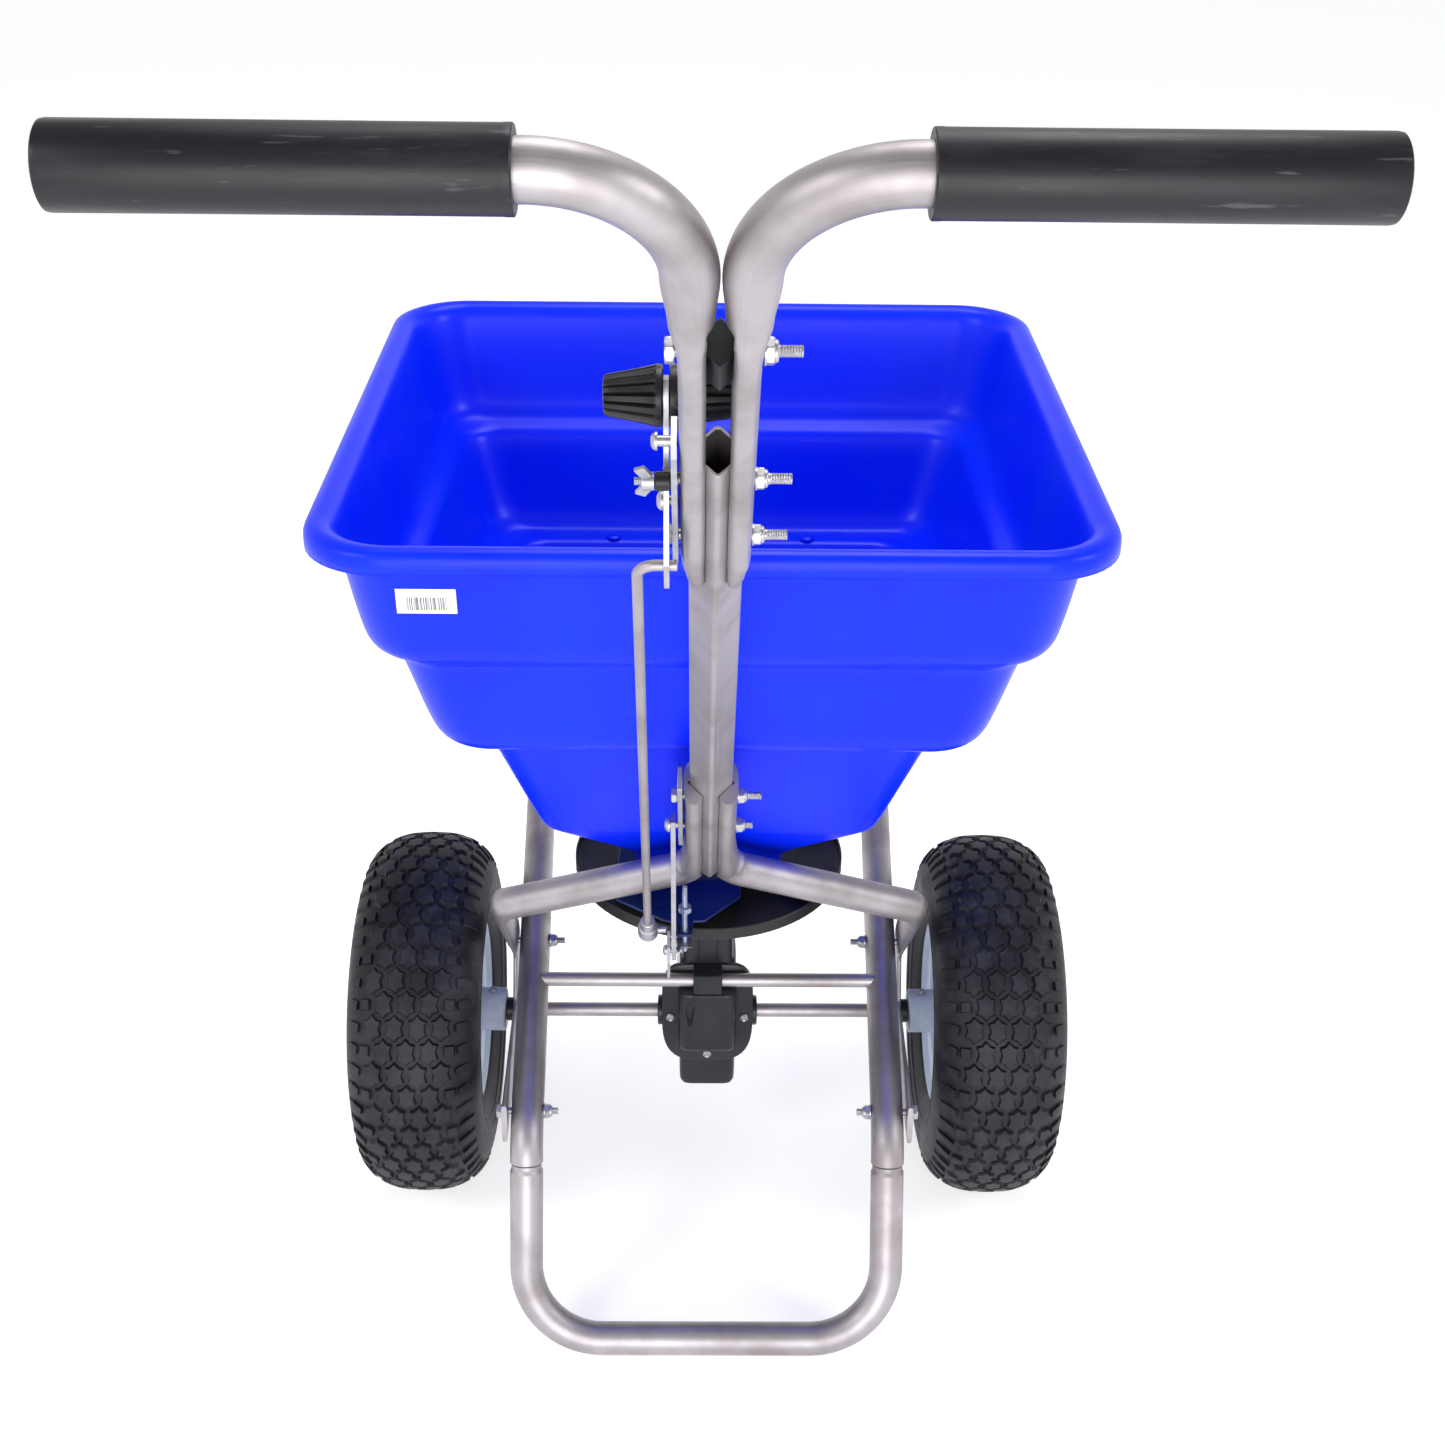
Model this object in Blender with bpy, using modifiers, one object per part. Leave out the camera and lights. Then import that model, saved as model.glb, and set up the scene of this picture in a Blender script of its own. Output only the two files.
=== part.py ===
"""Walk-behind garden spreader: tube frame, stepped hopper, driven impeller and gate linkage.

Run with: blender --background --python part.py
Metres, +Z up, +Y away from the operator, +X to the operator's right.
Chassis coordinates put the axle at Y 0. The chassis empty then moves everything forward,
so that the world origin lies on the ground under the middle of the whole object.
"""
import math

import bmesh
import bpy
from mathutils import Matrix, Vector

MM = 0.001
GAP = 0.0003

# Ground, axle and wheels
CHASSIS_Y = 0.1529
WHEEL_RADIUS = 0.165
AXLE_Z = WHEEL_RADIUS
AXLE_RADIUS = 0.00635
AXLE_HALF = 0.3045
TYRE_CENTRE_X = 0.2565
TYRE_HALF_WIDTH = 0.059
RIM_BEAD_RADIUS = 0.073
HUB_RADIUS = 0.020
HUB_INNER_X = 0.187
WHEEL_STEPS = 24

# Frame tubes
TUBE_RADIUS = 0.014
SLEEVE_X = 0.153
SLEEVE_Y = -0.195
SLEEVE_Z = 0.1556
FRAME_CORNER = (0.153, -0.1858, 0.1765)
RAIL_FRONT = (0.168, 0.236, 0.2693)
HOOP_Z = 0.5295
HOOP_Y = 0.2180
HOOP_BOLT_X = 0.090
LEG_BAR_Y = -0.2576
LEG_BEND_RADIUS = 0.065
BOLT_FRONT = (0.028, 0.2236)
BOLT_REAR = (-0.160, 0.1822)
BRACE_Y = -0.024
BRACE_Z = 0.2185
BRACE_RADIUS = 0.00635

# Handle post: a square tube set on edge, rising towards the operator
POST_ORIGIN = Vector((0.0, -0.113, 0.411))
POST_UP = Vector((0.0, -0.5859, 0.8103))
POST_FRONT = Vector((0.0, 0.8103, 0.5859))
POST_LENGTH = 0.620
POST_SIDE = 0.024
POST_CORNER = 0.003
POST_WALL = 0.002
POST_CLEAR = 0.0175

# Handle bars and grips, measured along the post
HANDLE_START = 0.494
HANDLE_BEND_START = 0.766
HANDLE_BEND_RADIUS = 0.070
HANDLE_TUBE_X = 0.0143
GRIP_RADIUS = 0.0192
GRIP_INNER_X = 0.087
GRIP_OUTER_X = 0.283
HANDLE_BOLTS = (0.533, 0.593, 0.709)
YOKE_BOLTS = (0.079, 0.140)

# Hopper
HOPPER_WALL = 0.003
HOPPER_TOP = 0.745
HOPPER_SEAT = 0.5475
FLOOR_Z = 0.3575

# Gearbox and impeller
CASE_HALF_X = 0.026
CASE_BACK_Y = -0.014
CASE_FRONT_Y = 0.032
CASE_BOTTOM = 0.085
CASE_TOP = 0.318
FLANGE_HALF_X = 0.042
FLANGE_LOW = 0.118
FLANGE_HIGH = 0.230
GEAR_TEETH = 24
PINION_TEETH = 12
IMPELLER_RADIUS = 0.118
IMPELLER_TOP = 0.344
SHAFT_RADIUS = 0.0048

# Control linkage
PLATE_X = -0.0224
LEVER_X = -0.0275
LEVER_PIVOT = (0.561, 0.005)
KNOB = (0.038, 0.614)
STOP = (-0.0072, 0.6012)
ROD_TOP = (0.540, -0.024)
ROD_RADIUS = 0.0032
CRANK_PIVOT = (-0.135, 0.335)
ROD_FOOT = Vector((-0.0505, -0.127, 0.3500))
SCREW = (-0.020, -0.127)
GATE_LOW = 0.3490
GATE_THICK = 0.0025
GATE_TRAVEL = 0.0105
PORT_HALF = 0.0048
PORT_X = (-0.024, -0.002, 0.020)
PORT_Y = -0.026


# Scene and helpers

def clear_scene():
    """Remove every object that the file starts with."""
    for old in list(bpy.data.objects):
        bpy.data.objects.remove(old, do_unlink=True)


clear_scene()
PARTS = bpy.data.collections.new("garden_spreader")
CUTTERS = bpy.data.collections.new("cutters")
bpy.context.scene.collection.children.link(PARTS)
bpy.context.scene.collection.children.link(CUTTERS)


def material(name, colour, roughness, metallic=0.0):
    """One Principled material."""
    made = bpy.data.materials.new(name)
    made.use_nodes = True
    shader = made.node_tree.nodes["Principled BSDF"]
    shader.inputs["Base Color"].default_value = (*colour, 1.0)
    shader.inputs["Roughness"].default_value = roughness
    shader.inputs["Metallic"].default_value = metallic
    return made


STEEL = material("stainless_tube", (0.56, 0.54, 0.53), 0.32, 1.0)
ZINC = material("zinc_plate", (0.75, 0.76, 0.78), 0.28, 1.0)
RUBBER = material("grip_rubber", (0.018, 0.018, 0.020), 0.45)
TYRE = material("tyre_rubber", (0.022, 0.022, 0.025), 0.75)
BLUE = material("hopper_blue", (0.0, 0.02, 0.9), 0.35)
BLACK = material("black_plastic", (0.020, 0.021, 0.024), 0.4)
WHEEL_PAINT = material("wheel_paint", (0.58, 0.62, 0.70), 0.4)
GATE_PAINT = material("gate_navy", (0.005, 0.02, 0.12), 0.35)


def empty(name, matrix, parent=None):
    """An empty that places the pieces parented to it."""
    made = bpy.data.objects.new(name, None)
    PARTS.objects.link(made)
    made.parent = parent
    made.matrix_local = matrix
    return made


CHASSIS = empty("chassis_place", Matrix.Translation((0.0, CHASSIS_Y, 0.0)))
POST_AXES = Matrix((
    (1.0, POST_FRONT.x, POST_UP.x),
    (0.0, POST_FRONT.y, POST_UP.y),
    (0.0, POST_FRONT.z, POST_UP.z),
))
POST = empty("post_place", Matrix.Translation(POST_ORIGIN) @ POST_AXES.to_4x4(), CHASSIS)
FACING_X = Matrix(((0, 0, 1, 0), (1, 0, 0, 0), (0, 1, 0, 0), (0, 0, 0, 1)))
FACING_Y = Matrix.Rotation(math.radians(90), 4, "X")
FLAT = Matrix.Identity(4)


def on_post(x, along, ahead):
    """Chassis point beside the post: across, up the post, and in front of it."""
    return POST_ORIGIN + POST_UP * along + POST_FRONT * ahead + Vector((x, 0.0, 0.0))


def add_object(name, mesh, finish, parent=None, place=None, group=None):
    """Link a mesh as a named sub-part, or as a cutter when it has no finish."""
    made = bpy.data.objects.new(name, mesh)
    (group or PARTS).objects.link(made)
    made.parent = parent or CHASSIS
    made.matrix_local = place or Matrix.Identity(4)
    if finish:
        mesh.materials.append(finish)
    else:
        made.hide_render = True
        made.display_type = "WIRE"
    return made


def to_mesh(name, shape):
    """Turn a bmesh into mesh data."""
    mesh = bpy.data.meshes.new(name)
    shape.to_mesh(mesh)
    shape.free()
    return mesh


def smooth(made, angle=35.0):
    """Shade a round piece smooth, with its real edges kept sharp."""
    made.data.shade_smooth()
    made.data.set_sharp_from_angle(angle=math.radians(angle))
    return made


def move_origin(name, point):
    """Put a sub-part's origin on its joint axis, in its parent's axes, without moving its shape."""
    made = bpy.data.objects[name]
    place = Matrix.Translation(point)
    made.data.transform(place.inverted() @ made.matrix_local)
    made.matrix_local = place


def add_box(shape, low, high):
    """Add a box between two corners to a bmesh."""
    size = [b - a for a, b in zip(low, high)]
    middle = [(a + b) / 2 for a, b in zip(low, high)]
    place = Matrix.Translation(middle) @ Matrix.Diagonal((*size, 1.0))
    bmesh.ops.create_cube(shape, size=1.0, matrix=place)


def add_rod(shape, start, end, radius, sides=16, end_radius=None):
    """Add a closed cylinder or cone between two points to a bmesh."""
    start = Vector(start)
    run = Vector(end) - start
    turn = run.to_track_quat("Z", "Y").to_matrix().to_4x4()
    place = Matrix.Translation(start + run / 2) @ turn
    far = radius if end_radius is None else end_radius
    bmesh.ops.create_cone(shape, cap_ends=True, segments=sides, radius1=radius,
                          radius2=far, depth=run.length, matrix=place)


def box(name, low, high, finish=None, parent=None, bevel=0.0):
    """A box sub-part, or a cutter when it has no finish."""
    shape = bmesh.new()
    add_box(shape, low, high)
    made = add_object(name, to_mesh(name, shape), finish, parent,
                      group=None if finish else CUTTERS)
    if bevel:
        edge = made.modifiers.new("edges", "BEVEL")
        edge.width = bevel
        edge.segments = 2
    return made


def rod(name, start, end, radius, finish=None, parent=None, sides=16, end_radius=None):
    """A cylinder sub-part, or a cutter when it has no finish."""
    shape = bmesh.new()
    add_rod(shape, start, end, radius, sides, end_radius)
    made = add_object(name, to_mesh(name, shape), finish, parent,
                      group=None if finish else CUTTERS)
    return smooth(made)


def boolean(target, other, operation="DIFFERENCE", solver="EXACT"):
    """Cut another shape away from a piece, or join it on."""
    step = target.modifiers.new(operation.lower(), "BOOLEAN")
    step.object = other
    step.operation = operation
    step.solver = solver
    return target


def cut(target, *others, solver="EXACT"):
    """Cut several shapes away. The pressed tubes need the manifold solver."""
    for other in others:
        boolean(target, other, solver=solver)
    return target


def join(target, *others):
    """Join several helper shapes on."""
    for other in others:
        boolean(target, other, "UNION")
    return target


def turned(name, outline, finish, place, closed=False, steps=WHEEL_STEPS, parent=None):
    """A profile of (radius, height) turned about its own Z with a Screw modifier."""
    mesh = bpy.data.meshes.new(name)
    count = len(outline)
    edges = [(i, i + 1) for i in range(count - 1)]
    if closed:
        edges.append((count - 1, 0))
    mesh.from_pydata([(r, 0.0, h) for r, h in outline], edges, [])
    made = add_object(name, mesh, finish, parent, place, None if finish else CUTTERS)
    spin = made.modifiers.new("turn", "SCREW")
    spin.steps = steps
    spin.render_steps = steps
    spin.use_merge_vertices = True
    spin.merge_threshold = 0.00001
    spin.use_smooth_shade = True
    return made


def loft(name, rings, finish, parent=None):
    """Closed solid through rings of equal point count, for sections that change shape."""
    shape = bmesh.new()
    rows = [[shape.verts.new(point) for point in ring] for ring in rings]
    count = len(rings[0])
    for low, high in zip(rows, rows[1:]):
        for i in range(count):
            j = (i + 1) % count
            shape.faces.new((low[i], low[j], high[j], high[i]))
    shape.faces.new(list(reversed(rows[0])))
    shape.faces.new(rows[-1])
    bmesh.ops.recalc_face_normals(shape, faces=shape.faces)
    return smooth(add_object(name, to_mesh(name, shape), finish, parent))


def filleted(points, radii, arc_steps=5):
    """Round the corners of a polyline with arcs."""
    points = [Vector(p) for p in points]
    route = [points[0]]
    for before, corner, after, radius in zip(points, points[1:], points[2:], radii):
        back = (before - corner).normalized()
        ahead = (after - corner).normalized()
        half = back.angle(ahead) / 2
        reach = radius / math.tan(half)
        centre = corner + (back + ahead).normalized() * (radius / math.sin(half))
        start = corner + back * reach - centre
        end = corner + ahead * reach - centre
        for i in range(arc_steps + 1):
            route.append(centre + arc_point(start, end, i / arc_steps))
    route.append(points[-1])
    return route


def arc_point(start, end, share):
    """Point part of the way round an arc between two spokes of equal length."""
    angle = start.angle(end)
    first = math.sin((1 - share) * angle) / math.sin(angle)
    second = math.sin(share * angle) / math.sin(angle)
    return start * first + end * second


def tangents(route):
    """Unit directions along a route."""
    found = []
    last = len(route) - 1
    for i in range(len(route)):
        run = route[min(i + 1, last)] - route[max(i - 1, 0)]
        found.append(run.normalized())
    return found


def oval(centre, across, up, half_across, half_up, power, count):
    """Superellipse ring: a circle at power 2, a rounded rectangle above it."""
    ring = []
    for i in range(count):
        angle = 2 * math.pi * i / count
        c = math.cos(angle)
        s = math.sin(angle)
        x = math.copysign(abs(c) ** (2 / power), c) * half_across
        y = math.copysign(abs(s) ** (2 / power), s) * half_up
        ring.append(centre + across * x + up * y)
    return ring


def swept(name, route, sections, finish, count=20, side=1.0, wrap=False):
    """Loft superellipse sections (half across, half up, power) along a route.

    Across is the X direction squared to the route. With wrap, every point is kept outside
    the diamond of the handle post, which presses the V-shaped seat into the tube.
    """
    rings = []
    for centre, run, (wide, tall, power) in zip(route, tangents(route), sections):
        across = Vector((1.0, 0.0, 0.0))
        across = (across - run * run.x).normalized()
        ring = oval(centre, across, run.cross(across), wide, tall, power, count)
        if wrap:
            ring = [seat_on_post(point) for point in ring]
        rings.append([Vector((side * p.x, p.y, p.z)) for p in ring])
    return loft(name, rings, finish)


def seat_on_post(point):
    """Push a point of a right-hand tube out of the post's diamond."""
    offset = point - POST_ORIGIN
    along = offset.dot(POST_UP)
    ahead = abs(offset.dot(POST_FRONT))
    if -0.012 < along < 0.735:
        return Vector((max(point.x, POST_CLEAR - ahead), point.y, point.z))
    return point


def curve_object(name, curve, finish, turn=None, parent=None):
    """Make a curve's solid a mesh, weld its caps, and place it."""
    guide = bpy.data.objects.new(name + "_guide", curve)
    PARTS.objects.link(guide)
    graph = bpy.context.evaluated_depsgraph_get()
    mesh = bpy.data.meshes.new_from_object(guide.evaluated_get(graph))
    bpy.data.objects.remove(guide, do_unlink=True)
    shape = bmesh.new()
    shape.from_mesh(mesh)
    bmesh.ops.remove_doubles(shape, verts=shape.verts, dist=0.00001)
    bmesh.ops.recalc_face_normals(shape, faces=shape.faces)
    mesh = to_mesh(name, shape)
    mesh.materials.clear()
    if turn:
        mesh.transform(turn)
    return add_object(name, mesh, finish, parent, group=None if finish else CUTTERS)


def tube(name, route, radius, finish, resolution=3):
    """A round tube or bar of one radius along a route."""
    curve = bpy.data.curves.new(name, "CURVE")
    curve.dimensions = "3D"
    curve.bevel_depth = radius
    curve.bevel_resolution = resolution
    curve.use_fill_caps = True
    spline = curve.splines.new("POLY")
    spline.points.add(len(route) - 1)
    for point, place in zip(spline.points, route):
        point.co = (*place, 1.0)
    return smooth(curve_object(name, curve, finish))


def flat(name, outline, low, high, turn, finish=None, parent=None):
    """A flat plate from a closed outline, between two heights above its own plane."""
    curve = bpy.data.curves.new(name, "CURVE")
    curve.dimensions = "2D"
    curve.fill_mode = "BOTH"
    curve.extrude = (high - low) / 2
    spline = curve.splines.new("POLY")
    spline.points.add(len(outline) - 1)
    for point, (x, y) in zip(spline.points, outline):
        point.co = (x, y, 0.0, 1.0)
    spline.use_cyclic_u = True
    place = turn @ Matrix.Translation((0.0, 0.0, (low + high) / 2))
    return curve_object(name, curve, finish, place, parent)


def bolt(name, head, tail, spot, parent=None, nut=None, size=0.0062, radius=0.0031, sides=6):
    """A bolt along X from under its head to its tail, with its nut on when it has one."""
    y, z = spot
    way = math.copysign(1.0, tail - head)
    thick = 0.7 * size
    made = rod(name, (head - way * thick / 2, y, z), (tail, y, z), radius, ZINC, parent, 12)
    join(made, rod(f"{name}_head", (head - way * thick, y, z), (head, y, z), size, None, parent,
                   sides))
    if nut is not None:
        end = nut + way * 0.0066
        join(made, rod(f"{name}_nut", (nut, y, z), (end, y, z), size * 1.03, None, parent, 6))
    return made


def sleeve(name, low, high, spot, outer, bore, finish, parent=None):
    """A short ring along X round a bolt."""
    y, z = spot
    made = rod(name, (low, y, z), (high, y, z), outer, finish, parent, 16)
    hole = rod(f"{name}_bore", (low - 0.01, y, z), (high + 0.01, y, z), bore, None, parent, 12)
    return cut(made, hole)


# Hopper

def rectangle_ring(half_x, rear, front, corner, z, corner_steps=3):
    """Rounded rectangle at one height, counter-clockwise from above."""
    ring = []
    centres = ((half_x - corner, front - corner, 0), (corner - half_x, front - corner, 90),
               (corner - half_x, rear + corner, 180), (half_x - corner, rear + corner, 270))
    for x, y, turn in centres:
        for i in range(corner_steps + 1):
            angle = math.radians(turn + 90 * i / corner_steps)
            ring.append((x + corner * math.cos(angle), y + corner * math.sin(angle), z))
    return ring


def hopper_levels():
    """Inner face from the lip's hanging edge, over the lip, down both steps to the outlet."""
    lip = [(0.2870, -0.2420, 0.3160, 0.062, 0.7270), (0.2870, -0.2420, 0.3160, 0.062, 0.7370),
           (0.2845, -0.2395, 0.3135, 0.060, 0.7425), (0.2780, -0.2330, 0.3070, 0.056, HOPPER_TOP),
           (0.2700, -0.2250, 0.2990, 0.050, 0.7425), (0.2640, -0.2195, 0.2930, 0.045, 0.7340)]
    steps = [(0.2510, -0.2110, 0.2830, 0.042, 0.6580), (0.2450, -0.2060, 0.2770, 0.040, 0.6450),
             (0.2300, -0.1945, 0.2610, 0.036, 0.6370), (0.2270, -0.1910, 0.2570, 0.035, 0.6300),
             (0.2110, -0.1800, 0.2450, 0.034, 0.5700), (0.2050, -0.1750, 0.2400, 0.034, 0.5560),
             (0.1930, -0.1640, 0.2320, 0.030, 0.5480), (0.1740, -0.1490, 0.2110, 0.024, 0.5475),
             (0.1690, -0.1455, 0.2060, 0.022, 0.5380)]
    funnel = [(0.1385, -0.0930, 0.1480, 0.020, 0.4290), (0.1340, -0.0900, 0.1440, 0.020, 0.4240),
              (0.0620, -0.0560, 0.0780, 0.016, 0.3810), (0.0580, -0.0530, 0.0740, 0.015, FLOOR_Z),
              (0.0400, -0.0430, 0.0500, 0.010, FLOOR_Z)]
    return lip + steps + funnel


def make_hopper():
    """Stepped hopper: one open surface from rounded rectangles, thickened outwards."""
    shape = bmesh.new()
    rows = []
    for half_x, rear, front, corner, z in hopper_levels():
        ring = rectangle_ring(half_x, rear, front, corner, z)
        rows.append([shape.verts.new(point) for point in ring])
    count = len(rows[0])
    for high, low in zip(rows, rows[1:]):
        for i in range(count):
            j = (i + 1) % count
            shape.faces.new((high[i], high[j], low[j], low[i]))
    made = add_object("hopper", to_mesh("hopper", shape), BLUE)
    wall = made.modifiers.new("wall", "SOLIDIFY")
    wall.thickness = HOPPER_WALL
    wall.offset = -1.0
    for x in (-HOOP_BOLT_X, HOOP_BOLT_X):
        cut(made, rod(f"hopper_hole_{x > 0}", (x, HOOP_Y, 0.53), (x, HOOP_Y, 0.56), 0.0036))
    return smooth(made, 25)


# Frame

def make_post():
    """Square tube on edge, open at both ends, drilled for its through bolts."""
    shape = bmesh.new()
    half = POST_SIDE / 2
    rows = []
    for z in (0.0, POST_LENGTH):
        ring = rectangle_ring(half, -half, half, POST_CORNER, z, 2)
        rows.append([shape.verts.new(point) for point in ring])
    count = len(rows[0])
    for i in range(count):
        j = (i + 1) % count
        shape.faces.new((rows[0][i], rows[0][j], rows[1][j], rows[1][i]))
    mesh = to_mesh("handle_post", shape)
    mesh.transform(Matrix.Rotation(math.radians(45), 4, "Z"))
    made = add_object("handle_post", mesh, STEEL, POST)
    wall = made.modifiers.new("wall", "SOLIDIFY")
    wall.thickness = POST_WALL
    wall.offset = -1.0
    for index, along in enumerate(HANDLE_BOLTS[:2] + YOKE_BOLTS):
        name = f"post_hole_{index}"
        hole = rod(name, (-0.03, 0.0, along), (0.03, 0.0, along), 0.0035, parent=POST, sides=11)
        cut(made, hole)
    return made


def bolt_holes(made, places, tag):
    """Cut the post's through-bolt holes from a tube."""
    for index, along in enumerate(places):
        name = f"{tag}_hole_{index}"
        hole = rod(name, (-0.04, 0.0, along), (0.04, 0.0, along), 0.0035, parent=POST, sides=11)
        cut(made, hole, solver="MANIFOLD")


def make_handle(side, word):
    """One handle bar: pressed seat on the post, round shank, then a bend outwards."""
    route = []
    sections = []
    pressed = ((HANDLE_START, 0.0055, 0.0135), (0.505, 0.0064, 0.0152), (0.518, 0.0074, 0.0165),
               (0.560, 0.0074, 0.0168), (0.625, 0.0074, 0.0168), (0.690, 0.0076, 0.0166),
               (0.718, 0.0080, 0.0162))
    for along, wide, tall in pressed:
        route.append(on_post(0.0052 + wide, along, 0.0))
        sections.append((wide, tall, 2.6))
    route.append(on_post(0.0137, 0.737, 0.0))
    sections.append((0.0115, 0.0148, 2.2))
    route.append(on_post(HANDLE_TUBE_X, HANDLE_BEND_START, 0.0))
    sections.append((TUBE_RADIUS, TUBE_RADIUS, 2))
    centre = on_post(HANDLE_TUBE_X + HANDLE_BEND_RADIUS, HANDLE_BEND_START, 0.0)
    bend_steps = 8
    for i in range(1, bend_steps + 1):
        angle = math.radians(90) * i / bend_steps
        out = HANDLE_BEND_RADIUS * -math.cos(angle)
        route.append(centre + POST_UP * HANDLE_BEND_RADIUS * math.sin(angle) + Vector((out, 0, 0)))
        sections.append((TUBE_RADIUS, TUBE_RADIUS, 2))
    route.append(route[-1] + Vector((0.060, 0.0, 0.0)))
    sections.append((TUBE_RADIUS, TUBE_RADIUS, 2))
    runs = tangents(route)
    rings = []
    for place, run, (wide, tall, power) in zip(route, runs, sections):
        up = POST_FRONT
        ring = oval(place, up.cross(run), up, wide, tall, power, 16)
        ring = [seat_on_post(point) for point in ring]
        rings.append([Vector((side * p.x, p.y, p.z)) for p in ring])
    made = loft(f"handle_bar_{word}", rings, STEEL)
    bolt_holes(made, HANDLE_BOLTS, f"handle_{word}")
    return route[-1], runs[-1]


def make_grip(side, word, tube_end, run):
    """Rubber grip: a thick sleeve whose blind bore holds the end of the bar."""
    near = tube_end - run * (tube_end.x - GRIP_INNER_X) / run.x
    far = tube_end + run * (GRIP_OUTER_X - tube_end.x) / run.x
    length = (far - near).length
    bore = TUBE_RADIUS + GAP
    depth = (tube_end - near).length + GAP
    profile = [(0.0, length), (GRIP_RADIUS - 0.001, length), (GRIP_RADIUS, length - 0.001),
               (GRIP_RADIUS, 0.001), (GRIP_RADIUS - 0.001, 0.0), (bore, 0.0), (bore, depth),
               (0.0, depth)]
    near = Vector((near.x * side, near.y, near.z))
    run = Vector((run.x * side, run.y, run.z))
    turn = run.to_track_quat("Z", "Y").to_matrix().to_4x4()
    turned(f"grip_{word}", profile, RUBBER, Matrix.Translation(near) @ turn, steps=16)


def make_handle_spacer():
    """Black spacer block that fills the gap between the bars at the upper bolt."""
    shape = bmesh.new()
    add_rod(shape, (0.0, 0.0, 0.696), (0.0, 0.0, 0.716), 0.0146, 4)
    made = add_object("handle_spacer", to_mesh("handle_spacer", shape), BLACK, POST)
    cut(made, rod("spacer_hole", (-0.03, 0.0, 0.709), (0.03, 0.0, 0.709), 0.0035, parent=POST))


def make_yoke(side, word):
    """One yoke tube: pressed on the post, bent out, then flattened down past the axle."""
    strip_front = 0.1785
    strip_rear = 0.1722
    clamp = [on_post(0.0126, s, 0.0) for s in (0.165, 0.150, 0.120, 0.080, 0.045)]
    out = filleted([on_post(0.0126, 0.035, 0.0), Vector((0.0145, -0.1035, 0.3975)),
                    Vector((0.1700, -0.0692, 0.3385))], [0.026], 4)
    turn = filleted([out[-1], Vector((strip_front, -0.0600, 0.3250)),
                     Vector((strip_front, 0.0150, 0.2420))], [0.022], 4)
    strip = filleted([Vector((strip_front, 0.0150, 0.2420)), Vector((strip_front, 0.0370, 0.2170)),
                      Vector((strip_front, 0.0060, 0.1560)),
                      Vector((strip_rear, -0.1780, 0.1830))], [0.024, 0.024], 4)
    route = clamp + out[:-1] + turn[1:-1] + strip
    sections = [(0.0078, 0.0175, 2.6)] + [(0.0074, 0.0162, 2.6)] * (len(clamp) - 1)
    out_sections = [(TUBE_RADIUS, TUBE_RADIUS, 2)] * (len(out) - 1)
    out_sections[0] = (0.0085, 0.0158, 2.4)
    out_sections[1] = (0.0110, 0.0150, 2.2)
    sections += out_sections
    turn_count = len(turn) - 2
    for i in range(turn_count):
        share = (i + 1) / turn_count
        sections.append((TUBE_RADIUS - 0.0060 * share, TUBE_RADIUS + 0.0020 * share, 2))
    flat = (0.0024, 0.0175, 5)
    sections += [flat] * len(strip)
    made = swept(f"yoke_{word}", route, sections, STEEL, 16, side, wrap=True)
    bolt_holes(made, YOKE_BOLTS, f"yoke_{word}")
    axle_hole = rod(f"yoke_bearing_hole_{word}", (side * 0.16, 0.0, AXLE_Z),
                    (side * 0.19, 0.0, AXLE_Z), 0.0112, sides=20)
    cut(made, axle_hole, solver="MANIFOLD")
    for index, (y, z) in enumerate((BOLT_FRONT, BOLT_REAR)):
        hole = rod(f"yoke_{word}_frame_{index}", (side * 0.12, y, z), (side * 0.20, y, z), 0.0036)
        cut(made, hole, solver="MANIFOLD")
    return made


def make_main_frame():
    """One bent tube: sleeve over the leg, rails under the hopper and a front hoop."""
    half = [Vector((SLEEVE_X, SLEEVE_Y, SLEEVE_Z)), Vector(FRAME_CORNER), Vector(RAIL_FRONT),
            Vector((RAIL_FRONT[0], RAIL_FRONT[1], HOOP_Z))]
    mirrored = [Vector((-p.x, p.y, p.z)) for p in reversed(half)]
    route = filleted(half + mirrored, [0.042, 0.055, 0.045, 0.045, 0.055, 0.042], 5)
    made = tube("main_frame", route, TUBE_RADIUS, STEEL)
    for index, (y, z) in enumerate((BOLT_FRONT, BOLT_REAR)):
        cut(made, rod(f"frame_hole_{index}", (-0.20, y, z), (0.20, y, z), 0.0036))
    for x in (-HOOP_BOLT_X, HOOP_BOLT_X):
        cut(made, rod(f"hoop_hole_{x > 0}", (x, HOOP_Y, 0.50), (x, HOOP_Y, 0.56), 0.0036))
    socket = BRACE_RADIUS + GAP
    cut(made, rod("brace_sockets", (-0.152, BRACE_Y, BRACE_Z), (0.152, BRACE_Y, BRACE_Z), socket))
    return made


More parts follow.
